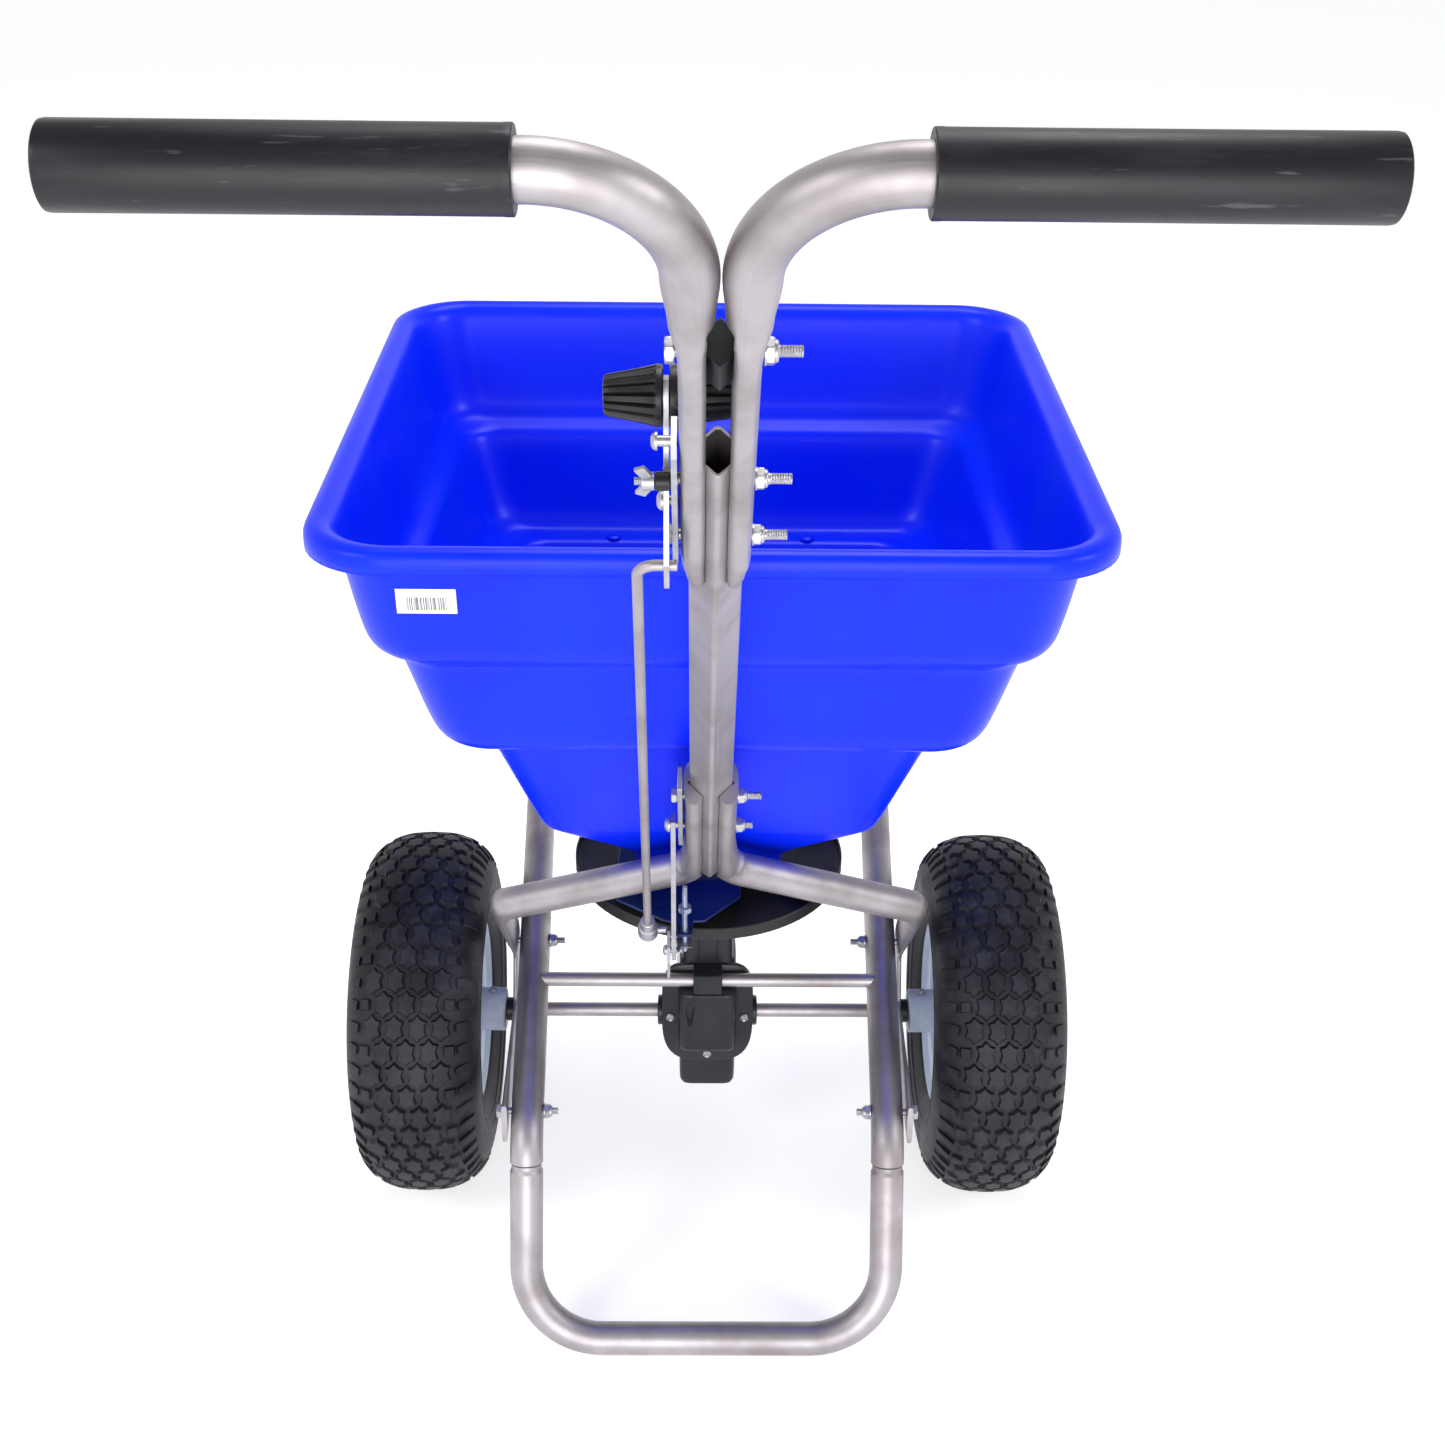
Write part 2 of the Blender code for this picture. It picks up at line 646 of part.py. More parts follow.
def make_stand_leg():
    """U-shaped leg with a necked end under each frame sleeve."""
    lean = Vector((0.0, SLEEVE_Y - LEG_BAR_Y, SLEEVE_Z - TUBE_RADIUS)).normalized()
    top = Vector((SLEEVE_X, SLEEVE_Y, SLEEVE_Z)) - lean * 2 * GAP
    corner = Vector((0.1535, LEG_BAR_Y, TUBE_RADIUS))
    half = [top, top - lean * 0.004, top - lean * 0.007, corner]
    mirrored = [Vector((-p.x, p.y, p.z)) for p in reversed(half)]
    ends = half[:3] + filleted(half[2:] + mirrored[:2], [LEG_BEND_RADIUS, LEG_BEND_RADIUS], 6)[1:]
    route = ends + mirrored[2:]
    runs = tangents(route)
    across = Vector((1.0, 0.0, 0.0))
    rings = []
    last = len(route) - 1
    for index, (centre, run) in enumerate(zip(route, runs)):
        across = (across - run * across.dot(run)).normalized()
        radius = TUBE_RADIUS - (0.0012 if index in (0, 1, last - 1, last) else 0.0)
        rings.append(oval(centre, across, run.cross(across), radius, radius, 2, 14))
    return loft("stand_leg", rings, STEEL)


def make_fasteners():
    """Through bolts of the post joints, the four frame bolts and the two hopper bolts."""
    for index, along in enumerate(HANDLE_BOLTS[:2]):
        bolt(f"handle_bolt_{index + 1}", -0.0248, 0.0400, (0.0, along), POST, 0.0206)
    bolt("handle_bolt_3", -0.0217, 0.0400, (0.0, HANDLE_BOLTS[2]), POST, 0.0217, 0.0070)
    bolt("yoke_bolt_1", -0.0314, 0.0330, (0.0, YOKE_BOLTS[0]), POST, 0.0206, sides=16)
    bolt("yoke_bolt_2", -0.0252, 0.0380, (0.0, YOKE_BOLTS[1]), POST, 0.0206)
    for side, word in ((-1.0, "left"), (1.0, "right")):
        bolt(f"frame_bolt_front_{word}", side * 0.1814, side * 0.1330, BOLT_FRONT, None,
             side * 0.1462)
        bolt(f"frame_bolt_rear_{word}", side * 0.1758, side * 0.1280, BOLT_REAR, None,
             side * 0.1395)
        x = side * HOOP_BOLT_X
        made = rod(f"hopper_bolt_{word}", (x, HOOP_Y, HOPPER_SEAT + 0.0020),
                   (x, HOOP_Y, HOPPER_SEAT - 0.0400), 0.0031, ZINC, None, 12)
        join(made, rod(f"hopper_bolt_head_{word}", (x, HOOP_Y, HOPPER_SEAT + 0.0008),
                       (x, HOOP_Y, HOPPER_SEAT + 0.0036), 0.0068, None, None, 12))


def make_brace():
    """Round bar between the rails, which keeps the gearbox from turning."""
    rod("brace_rod", (-0.1517, BRACE_Y, BRACE_Z), (0.1517, BRACE_Y, BRACE_Z), BRACE_RADIUS, STEEL)


# Gearbox

def make_gearbox():
    """Front housing with its column and axle bosses, rear cover, and cover screws."""
    case = box("gearbox_housing", (-CASE_HALF_X, CASE_BACK_Y, CASE_BOTTOM),
               (CASE_HALF_X, CASE_FRONT_Y, CASE_TOP), BLACK)
    flange = flange_plate("housing_flange", CASE_BACK_Y, CASE_BACK_Y + 0.003)
    boss = rod("housing_boss", (-0.046, 0.0, AXLE_Z), (0.046, 0.0, AXLE_Z), 0.0138, sides=24)
    join(case, flange, boss)
    cut(case, box("housing_room", (-0.0235, -0.030, 0.134), (0.0235, 0.029, 0.204)),
        rod("housing_bore", (-0.06, 0.0, AXLE_Z), (0.06, 0.0, AXLE_Z), AXLE_RADIUS + GAP),
        rod("housing_shaft_bore", (0, 0, 0.19), (0, 0, 0.33), SHAFT_RADIUS + GAP))
    back = CASE_BACK_Y - GAP
    cover = flange_plate("gearbox_cover", back - 0.003, back, BLACK)
    panel = box("cover_panel", (-0.027, -0.036, 0.136), (0.027, back - 0.0004, 0.2105), bevel=0.004)
    clip = box("cover_clip", (-0.013, -0.034, 0.2090), (0.013, back - 0.001, 0.2300))
    join(cover, panel, clip)
    cut(cover, box("cover_room", (-0.0235, -0.0335, 0.139), (0.0235, 0.0, 0.204)),
        rod("cover_clip_hole", (-0.03, BRACE_Y, BRACE_Z), (0.03, BRACE_Y, BRACE_Z),
            BRACE_RADIUS + GAP))
    face = back - 0.003 - GAP
    for index, (x, z) in enumerate(((-0.034, 0.170), (0.034, 0.170), (0.0, 0.127))):
        rod(f"cover_screw_{index + 1}", (x, face, z), (x, face - 0.0022, z), 0.0042, ZINC, None,
            12, 0.0030)


def rounded_outline(half_x, low, high, corner):
    """Outline of a rounded rectangle."""
    return [(x, y) for x, y, _ in rectangle_ring(half_x, low, high, corner, 0.0, 4)]


def flange_plate(name, back, front, finish=None):
    """Flat plate with rounded corners that stands across the gearbox."""
    outline = rounded_outline(FLANGE_HALF_X, FLANGE_LOW, FLANGE_HIGH, 0.020)
    return flat(name, outline, -front, -back, FACING_Y, finish)


def make_gears():
    """Crown gear on the axle and the spur pinion on the upright shaft, in mesh at rest."""
    disc = rod("drive_gear", (0.0140, 0.0, AXLE_Z), (0.0225, 0.0, AXLE_Z), 0.0260, BLACK, sides=24)
    for index in range(GEAR_TEETH):
        shape = bmesh.new()
        add_box(shape, (0.0110, -0.0008, 0.0200), (0.0145, 0.0008, 0.0257))
        tooth = to_mesh("tooth", shape)
        turn = Matrix.Rotation(2 * math.pi * index / GEAR_TEETH, 4, "X")
        tooth.transform(Matrix.Translation((0.0, 0.0, AXLE_Z)) @ turn)
        join(disc, add_object(f"gear_tooth_{index}", tooth, None, group=CUTTERS))
    cut(disc, rod("gear_bore", (0.0, 0.0, AXLE_Z), (0.03, 0.0, AXLE_Z), AXLE_RADIUS + GAP))
    outline = []
    for index in range(PINION_TEETH):
        for share, radius in ((0.05, 0.0100), (0.27, 0.0100), (0.38, 0.0124), (0.62, 0.0124),
                              (0.73, 0.0100), (0.95, 0.0100)):
            angle = 2 * math.pi * (index + share) / PINION_TEETH
            outline.append((radius * math.cos(angle), radius * math.sin(angle)))
    pinion = flat("pinion", outline, 0.1832, 0.1925, FLAT, BLACK)
    cut(pinion, rod("pinion_bore", (0.0, 0.0, 0.17), (0.0, 0.0, 0.20), SHAFT_RADIUS + GAP))


# Wheels

def mirrored_x(side):
    """Place for a wheel part turned about the axle, facing out on either side."""
    return Matrix.Translation((0, 0, AXLE_Z)) @ Matrix.Rotation(math.radians(90 * side), 4, "Y")


def make_wheel(side, word):
    """Pressed steel wheel with a long hub, and its tyre."""
    bore = AXLE_RADIUS + GAP
    middle = TYRE_CENTRE_X
    bead = RIM_BEAD_RADIUS
    hub_outer = 0.2960
    rim = [(HUB_RADIUS, hub_outer), (HUB_RADIUS, middle + 0.002), (0.056, middle - 0.004),
           (0.060, middle + 0.036), (0.079, middle + 0.042), (0.082, middle + 0.047),
           (0.085, middle + 0.045), (bead + 0.006, middle + 0.0385), (bead, middle + 0.034),
           (0.064, middle + 0.026), (0.064, middle - 0.026), (bead, middle - 0.034),
           (bead + 0.006, middle - 0.0385), (0.085, middle - 0.045), (0.082, middle - 0.047),
           (0.079, middle - 0.042), (0.060, middle - 0.036), (0.058, middle - 0.009),
           (HUB_RADIUS, middle - 0.003), (HUB_RADIUS, HUB_INNER_X + 0.001),
           (HUB_RADIUS - 0.001, HUB_INNER_X), (bore, HUB_INNER_X), (bore, hub_outer)]
    made = turned(f"wheel_{word}", rim, WHEEL_PAINT, mirrored_x(side), closed=True)
    pin_x = side * (HUB_INNER_X + 0.012)
    cut(made, rod(f"hub_pin_hole_{word}", (pin_x, 0.0, AXLE_Z - 0.03), (pin_x, 0.0, AXLE_Z + 0.03),
                  0.0025, sides=10))
    half = TYRE_HALF_WIDTH
    top = WHEEL_RADIUS
    tyre = [(bead + GAP, 0.0265), (bead + GAP, 0.0335), (bead + 0.0065, 0.0378), (0.092, 0.050),
            (0.108, 0.0575), (0.125, half), (0.140, 0.0560), (0.153, 0.0455), (0.161, 0.0280),
            (top, 0.0)]
    tyre = [(radius, -across) for radius, across in tyre]
    full = [(radius, -across) for radius, across in tyre]
    lower = [(radius, -across) for radius, across in reversed(full[:-1])]
    inner = [(0.078, -0.030), (0.110, -0.049), (0.146, -0.038), (0.155, 0.0), (0.146, 0.038),
             (0.110, 0.049), (0.078, 0.030)]
    outline = [(radius, middle + across) for radius, across in full + lower + inner]
    turned(f"tyre_{word}", outline, TYRE, mirrored_x(side), closed=True)
    bush = rod(f"axle_bush_{word}", (side * 0.1685, 0.0, AXLE_Z), (side * 0.1865, 0.0, AXLE_Z),
               0.0109, BLACK, sides=20)
    cut(bush, rod(f"bush_bore_{word}", (side * 0.15, 0.0, AXLE_Z), (side * 0.20, 0.0, AXLE_Z),
                  AXLE_RADIUS + GAP))


def make_axle():
    """Solid axle, cross-drilled near each hub for its retaining pin."""
    made = rod("axle", (-AXLE_HALF, 0.0, AXLE_Z), (AXLE_HALF, 0.0, AXLE_Z), AXLE_RADIUS, STEEL)
    for side, word in ((-1.0, "left"), (1.0, "right")):
        x = side * (HUB_INNER_X + 0.012)
        cut(made, rod(f"axle_pin_hole_{word}", (x, 0.0, AXLE_Z - 0.02), (x, 0.0, AXLE_Z + 0.02),
                      0.0025, sides=10))
        rod(f"hub_pin_{word}", (x, 0.0, AXLE_Z - 0.0225), (x, 0.0, AXLE_Z + 0.0245), 0.0020, ZINC,
            sides=8)


# Impeller

def make_impeller():
    """Shallow dish with a hub and blades, its shaft, and the agitator in the hopper."""
    top = IMPELLER_TOP
    low = top - 0.012
    radius = IMPELLER_RADIUS
    outline = [(0.012, top - 0.001), (0.012, low + 0.0030), (radius - 0.0025, low + 0.0045),
               (radius - 0.0025, top), (radius, top), (radius, low), (radius - 0.003, low),
               (0.017, low), (0.015, 0.3215), (SHAFT_RADIUS + GAP, 0.3215),
               (SHAFT_RADIUS + GAP, top - 0.001)]
    outline = list(reversed(outline))
    place = Matrix.Identity(4)
    made = turned("impeller", outline, BLACK, place, closed=True, steps=24)
    blades = 6
    for index in range(blades):
        angle = 2 * math.pi * (index + 0.35) / blades
        shape = bmesh.new()
        add_box(shape, (0.0110, -0.0012, low + 0.002), (radius - 0.0012, 0.0012, top - 0.0012))
        mesh = to_mesh("blade", shape)
        mesh.transform(Matrix.Rotation(angle, 4, "Z"))
        join(made, add_object(f"blade_{index}", mesh, None, group=CUTTERS))
    shaft = rod("impeller_shaft", (0, 0, 0.1790), (0, 0, 0.3950), SHAFT_RADIUS, STEEL)
    cut(shaft, rod("agitator_hole", (-0.01, 0.0, 0.387), (0.01, 0.0, 0.387), 0.0023, sides=10))
    route = filleted([(-0.034, 0.0, 0.3790), (-0.026, 0.0, 0.387), (0.026, 0.0, 0.387),
                      (0.034, 0.0, 0.3790)], [0.005, 0.005], 3)
    tube("agitator", route, 0.0020, STEEL, 2)


def make_floor_and_gate():
    """Outlet plate under the hopper floor with three ports, and the sliding gate below it."""
    high = FLOOR_Z - HOPPER_WALL - GAP
    floor = box("outlet_plate", (-0.055, -0.050, high - 0.0020), (0.055, 0.062, high), ZINC)
    cut(floor, rod("outlet_shaft_hole", (0, 0, 0.34), (0, 0, 0.37), SHAFT_RADIUS + 0.0006))
    for index, x in enumerate(PORT_X):
        cut(floor, box(f"outlet_port_{index}", (x - 0.008, PORT_Y - PORT_HALF, 0.34),
                       (x + 0.008, PORT_Y + PORT_HALF, 0.37)))
    outline = [(-0.037, -0.1155), (-0.027, -0.1165), (-0.026, -0.1360), (-0.0140, -0.1360),
               (-0.0130, -0.1165), (-0.003, -0.1155), (0.027, -0.081), (0.027, 0.040),
               (-0.060, 0.040), (-0.079, 0.020), (-0.079, -0.085)]
    gate = flat("gate_plate", outline, GATE_LOW, GATE_LOW + GATE_THICK, FLAT, GATE_PAINT)
    cut(gate, box("gate_shaft_slot", (-0.0065, -0.0075, 0.34), (0.0065, 0.0290, 0.37)),
        box("gate_screw_slot", (-0.0236, -0.1325, 0.34), (-0.0164, -0.1210, 0.37)))
    for index, x in enumerate(PORT_X):
        cut(gate, box(f"gate_port_{index}", (x - 0.008, PORT_Y + GATE_TRAVEL - PORT_HALF, 0.34),
                      (x + 0.008, PORT_Y + GATE_TRAVEL + PORT_HALF, 0.37)))


# Control lever and linkage

def make_lever_bracket():
    """Slotted plate bolted to the left bar, with the pivot bolt and the limit pin."""
    outline = [(-0.012, 0.522), (0.010, 0.522), (0.014, 0.535), (0.014, 0.600), (0.012, 0.634),
               (-0.008, 0.638), (-0.012, 0.630)]
    made = flat("lever_bracket", outline, -0.0244, -0.0212, FACING_X, ZINC, POST)
    for index, along in enumerate(HANDLE_BOLTS[:2]):
        cut(made, rod(f"bracket_hole_{index}", (-0.03, 0.0, along), (-0.01, 0.0, along), 0.0035,
                      parent=POST))
    along, ahead = LEVER_PIVOT
    cut(made, box("bracket_slot", (-0.03, -0.0100, 0.5985), (-0.01, -0.0045, 0.6150), parent=POST),
        rod("bracket_pivot_hole", (-0.03, ahead, along), (-0.01, ahead, along), 0.0034, parent=POST),
        rod("bracket_pin_hole", (-0.03, 0.002, 0.626), (-0.01, 0.002, 0.626), 0.0034, parent=POST))
    bolt("limit_pin", -0.0315, -0.0208, (0.002, 0.626), POST, size=0.0050, radius=0.0030, sides=16)
    bolt("lever_pivot_bolt", -0.0293, -0.0208, (ahead, along), POST, size=0.0055, radius=0.0030,
         sides=16)


def make_lever():
    """Lever plate turning on the pivot bolt, with a knob of two cones through its end."""
    along, ahead = LEVER_PIVOT
    outline = [(-0.031, 0.526), (-0.019, 0.526), (-0.012, 0.548), (0.016, 0.560), (0.046, 0.606),
               (0.047, 0.620), (0.040, 0.626), (0.031, 0.622), (0.001, 0.574), (-0.010, 0.566),
               (-0.029, 0.548)]
    made = flat("control_lever", outline, -0.0290, -0.0260, FACING_X, ZINC, POST)
    rod_along, rod_ahead = ROD_TOP
    cut(made, rod("lever_pivot_hole", (-0.04, ahead, along), (-0.02, ahead, along), 0.0034,
                  parent=POST),
        rod("lever_rod_hole", (-0.04, rod_ahead, rod_along), (-0.02, rod_ahead, rod_along),
            ROD_RADIUS + 0.0015, parent=POST),
        rod("lever_knob_hole", (-0.04, *KNOB), (-0.02, *KNOB), 0.0032, parent=POST))
    knob = rod("control_knob", (-0.0293, *KNOB), (-0.0610, *KNOB), 0.0168, BLACK, POST, 20, 0.0110)
    right = rod("knob_right", (-0.0257, *KNOB), (0.0150, *KNOB), 0.0168, None, POST, 20, 0.0110)
    join(knob, right, rod("knob_stud", (-0.0350, *KNOB), (-0.0200, *KNOB), 0.0029, None, POST, 12))


def make_rate_stop():
    """Stop bolt in the bracket's slot, its spacer, and the wing nut that locks it."""
    rod("stop_bolt", (-0.0440, *STOP), (-0.0204, *STOP), 0.0022, ZINC, POST, 12)
    sleeve("stop_spacer", -0.0330, -0.0249, STOP, 0.0052, 0.0025, BLACK, POST)
    hub = sleeve("wing_nut", -0.0400, -0.0334, STOP, 0.0050, 0.0025, ZINC, POST)
    for index, half_turn in enumerate((0.0, 180.0)):
        shape = bmesh.new()
        add_box(shape, (-0.0030, -0.0011, 0.0), (0.0030, 0.0011, 0.0090))
        wing = to_mesh("wing", shape)
        lean = Matrix.Rotation(math.radians(-28.0), 4, "Y")
        turn = Matrix.Rotation(math.radians(half_turn), 4, "X")
        root = Matrix.Translation((0.0, 0.0, 0.0048))
        wing.transform(Matrix.Translation((-0.0370, *STOP)) @ turn @ root @ lean)
        join(hub, add_object(f"wing_{index}", wing, None, POST, group=CUTTERS))


def make_yoke_bracket():
    """Plate on the yoke's left side and the strap that hangs from the lower yoke bolt."""
    outline = [(-0.009, 0.056), (0.009, 0.056), (0.012, 0.066), (0.012, 0.172), (0.006, 0.180),
               (-0.012, 0.180), (-0.012, 0.066)]
    made = flat("yoke_bracket", outline, -0.0248, -0.0212, FACING_X, ZINC, POST)
    for index, along in enumerate(YOKE_BOLTS):
        cut(made, rod(f"yoke_bracket_hole_{index}", (-0.03, 0.0, along), (-0.01, 0.0, along),
                      0.0035, parent=POST))
    top = on_post(0.0, YOKE_BOLTS[0], 0.0)
    foot = Vector((0.0, *CRANK_PIVOT))
    run = (foot - top).normalized()
    side = Vector((0.0, run.z, -run.y)) * 0.0060
    corners = [top - run * 0.007 - side, top - run * 0.007 + side, foot + run * 0.006 + side,
               foot + run * 0.006 - side]
    outline = [(corner.y, corner.z) for corner in corners]
    strap = flat("hanger_strap", outline, -0.0308, -0.0270, FACING_X, ZINC)
    cut(strap, rod("strap_bolt_hole", (-0.04, top.y, top.z), (-0.02, top.y, top.z), 0.0035),
        rod("strap_pivot_hole", (-0.04, foot.y, foot.z), (-0.02, foot.y, foot.z), 0.0028))


def make_crank():
    """U-shaped crank on the strap, with its pivot pin and the upright adjusting screw."""
    y, z = CRANK_PIVOT
    outline = [(y - 0.008, z - 0.008), (y + 0.016, z - 0.008), (y + 0.015, z + 0.003),
               (y + 0.002, z + 0.018), (y - 0.008, z + 0.008)]
    ear = flat("gate_crank", outline, -0.0345, -0.0318, FACING_X, ZINC)
    web = box("crank_web", (-0.0340, y + 0.0120, z - 0.0060), (-0.0245, y + 0.0147, z + 0.0018))
    right = box("crank_right", (-0.0262, y - 0.007, z - 0.008), (-0.0240, y + 0.0152, z + 0.0034))
    tab = box("crank_tab", (-0.0250, y - 0.0005, z + 0.0006), (-0.0140, y + 0.0143, z + 0.0030))
    outline = [(y - 0.006, z - 0.024), (y + 0.006, z - 0.024), (y + 0.006, z - 0.004),
               (y - 0.006, z - 0.004)]
    tail = flat("crank_tail", outline, -0.0343, -0.0320, FACING_X)
    join(ear, web, right, tab, tail)
    screw_x, screw_y = SCREW
    cut(ear, rod("crank_pin_hole", (-0.05, y, z), (-0.01, y, z), 0.0028),
        rod("crank_screw_hole", (screw_x, screw_y, z - 0.01), (screw_x, screw_y, z + 0.01), 0.0026))
    bolt("crank_pin", -0.0348, -0.0215, CRANK_PIVOT, None, size=0.0045, radius=0.0025, sides=16)
    screw = rod("adjusting_screw", (screw_x, screw_y, z - 0.006), (screw_x, screw_y, 0.3940),
                0.0023, ZINC, sides=12)
    join(screw, rod("adjusting_nut", (screw_x, screw_y, 0.3690), (screw_x, screw_y, 0.3735), 0.0060,
                    sides=6))


def make_control_rod():
    """Long rod with its top hooked through the lever, and the ferrule at its foot."""
    along, ahead = ROD_TOP
    top = on_post(-0.044, along, ahead)
    hook = on_post(-0.0215, along, ahead)
    tube("control_rod", filleted([hook, top, ROD_FOOT], [0.011], 6), ROD_RADIUS, ZINC)
    run = (top - ROD_FOOT).normalized()
    ferrule = rod("rod_ferrule", ROD_FOOT - run * 0.0080, ROD_FOOT + run * 0.0200, 0.0085, ZINC,
                  sides=16)
    across = Vector((0.0154, 0.0, 0.0))
    join(ferrule, rod("ferrule_pin", ROD_FOOT, ROD_FOOT + across, 0.0028))
    cut(ferrule, rod("ferrule_hole", ROD_FOOT - run * GAP * 2, ROD_FOOT + run * 0.03, ROD_RADIUS + GAP))


def place_origins():
    """Give every moving sub-part an origin on the axis it turns about or slides along."""
    axle_middle = Vector((0.0, 0.0, AXLE_Z))
    lever_middle = Vector((LEVER_X, LEVER_PIVOT[1], LEVER_PIVOT[0]))
    rod_top = on_post(LEVER_X, *ROD_TOP)
    crank_middle = Vector((LEVER_X, *CRANK_PIVOT))
    for name in ("axle", "drive_gear", "hub_pin_left", "hub_pin_right"):
        move_origin(name, axle_middle)
    for name in ("control_lever", "control_knob"):
        move_origin(name, lever_middle)
    move_origin("control_rod", rod_top)
    for name in ("gate_crank", "adjusting_screw"):
        move_origin(name, crank_middle)
    for name in ("stop_bolt", "stop_spacer", "wing_nut"):
        move_origin(name, Vector((-0.0370, *STOP)))


def build():
    """Make every sub-part."""
    make_hopper()
    make_post()
    for side, word in ((-1.0, "left"), (1.0, "right")):
        end, run = make_handle(side, word)
        make_grip(side, word, end, run)
        make_yoke(side, word)
        make_wheel(side, word)
    make_handle_spacer()
    make_main_frame()
    make_stand_leg()
    make_fasteners()
    make_brace()
    make_gearbox()
    make_gears()
    make_axle()
    make_impeller()
    make_floor_and_gate()
    make_lever_bracket()
    make_lever()
    make_rate_stop()
    make_yoke_bracket()
    make_crank()
    make_control_rod()
    place_origins()


build()
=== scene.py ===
"""Finished look of the walk-behind garden spreader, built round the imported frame.

Lengths are metres. Chassis coordinates have the axle at Y 0, and CHASSIS moves them to the frame.
"""
import math

import bmesh
import bpy
import numpy as np
from mathutils import Matrix, Vector


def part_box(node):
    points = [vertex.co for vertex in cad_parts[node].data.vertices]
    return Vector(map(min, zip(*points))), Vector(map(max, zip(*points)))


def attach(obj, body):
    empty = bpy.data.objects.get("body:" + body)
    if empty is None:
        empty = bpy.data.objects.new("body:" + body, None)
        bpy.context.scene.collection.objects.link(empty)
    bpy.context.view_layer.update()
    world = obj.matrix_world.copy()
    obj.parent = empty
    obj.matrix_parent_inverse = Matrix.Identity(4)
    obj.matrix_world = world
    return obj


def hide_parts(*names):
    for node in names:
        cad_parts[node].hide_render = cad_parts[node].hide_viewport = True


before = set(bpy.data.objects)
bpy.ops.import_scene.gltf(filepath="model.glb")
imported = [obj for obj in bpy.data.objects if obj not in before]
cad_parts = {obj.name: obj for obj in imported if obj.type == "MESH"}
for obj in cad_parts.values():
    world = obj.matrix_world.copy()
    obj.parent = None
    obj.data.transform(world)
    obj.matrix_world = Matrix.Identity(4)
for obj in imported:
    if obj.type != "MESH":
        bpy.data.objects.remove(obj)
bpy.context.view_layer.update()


def centre_of(node):
    """Middle of a node's box."""
    low, high = (np.array(corner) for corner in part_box(node))
    return (low + high) / 2


AXLE = centre_of("axle")
CHASSIS = np.array((0.0, AXLE[1], 0.0))
AXLE_Z = AXLE[2]

# Handle post axes, measured up the post and ahead of it
POST_ORIGIN = np.array((0.0, -0.113, 0.411)) + CHASSIS
POST_UP = np.array((0.0, -0.5859, 0.8103))
POST_FRONT = np.array((0.0, 0.8103, 0.5859))
POST_CLEAR = 0.0175
POST_SEAT_TOP = 0.735

TUBE_RADIUS = 0.014
HANDLE_TUBE_X = 0.0143
HANDLE_BEND_START = 0.766
HANDLE_BEND_RADIUS = 0.070
ROD_RADIUS = 0.0032
TYRE_CENTRE_X = 0.2565
HUB_INNER_X = 0.187
HUB_RADIUS = 0.020
AXLE_BORE = 0.0068
HOPPER_WALL = 0.003


# Shader wiring

class Wire:
    """A socket that takes part in Python arithmetic, one Math node for each operation."""

    def __init__(self, tree, socket):
        self.tree = tree
        self.socket = socket

    def maths(self, operation, *values):
        step = self.tree.nodes.new("ShaderNodeMath")
        step.operation = operation
        for place, value in zip(step.inputs, values):
            join(self.tree, place, value)
        return Wire(self.tree, step.outputs[0])

    def __add__(self, other):
        return self.maths("ADD", self, other)

    __radd__ = __add__

    def __mul__(self, other):
        return self.maths("MULTIPLY", self, other)

    __rmul__ = __mul__

    def __sub__(self, other):
        return self.maths("SUBTRACT", self, other)

    def __rsub__(self, other):
        return self.maths("SUBTRACT", other, self)

    def __gt__(self, other):
        return self.maths("GREATER_THAN", self, other)


def join(tree, socket, value):
    """Give a socket a link or a plain value."""
    if isinstance(value, Wire):
        tree.links.new(value.socket, socket)
    else:
        socket.default_value = value


class Paint:
    """One material: a Principled shader and the nodes that feed it."""

    def __init__(self, name, colour, roughness, metallic=0.0, **fixed):
        self.material = bpy.data.materials.new(name)
        self.material.use_nodes = True
        self.tree = self.material.node_tree
        self.shader = self.tree.nodes["Principled BSDF"]
        self.material.diffuse_color = (*colour, 1.0)
        self.set(Base_Color=(*colour, 1.0), Roughness=roughness, Metallic=metallic, **fixed)

    def set(self, **values):
        for name, value in values.items():
            join(self.tree, self.shader.inputs[name.replace("_", " ")], value)

    def node(self, kind, output=0, settings=None, **values):
        made = self.tree.nodes.new("ShaderNode" + kind)
        for name, value in (settings or {}).items():
            setattr(made, name, value)
        for name, value in values.items():
            key = int(name[1:]) if name[0] == "_" else name.replace("_", " ")
            join(self.tree, made.inputs[key], value)
        return Wire(self.tree, made.outputs[output])

    def place(self, scale=(1.0, 1.0, 1.0), source="Object"):
        where = self.tree.nodes.new("ShaderNodeTexCoord").outputs[source]
        return self.node("Mapping", Vector=Wire(self.tree, where), Scale=scale)

    def noise(self, where, scale, detail=4.0, rough=0.55):
        return self.node("TexNoise", Vector=where, Scale=scale, Detail=detail, Roughness=rough)

    def spread(self, value, low, high, out_low=0.0, out_high=1.0):
        return self.node("MapRange", Value=value, From_Min=low, From_Max=high,
                         To_Min=out_low, To_Max=out_high)

    def mix(self, factor, first, second):
        return self.node("Mix", 2, {"data_type": "RGBA"}, _0=factor, _6=(*first, 1.0)
                         if isinstance(first, tuple) else first, _7=(*second, 1.0))

    def bump(self, height, strength, distance):
        self.set(Normal=self.node("Bump", Strength=strength, Distance=distance, Height=height))


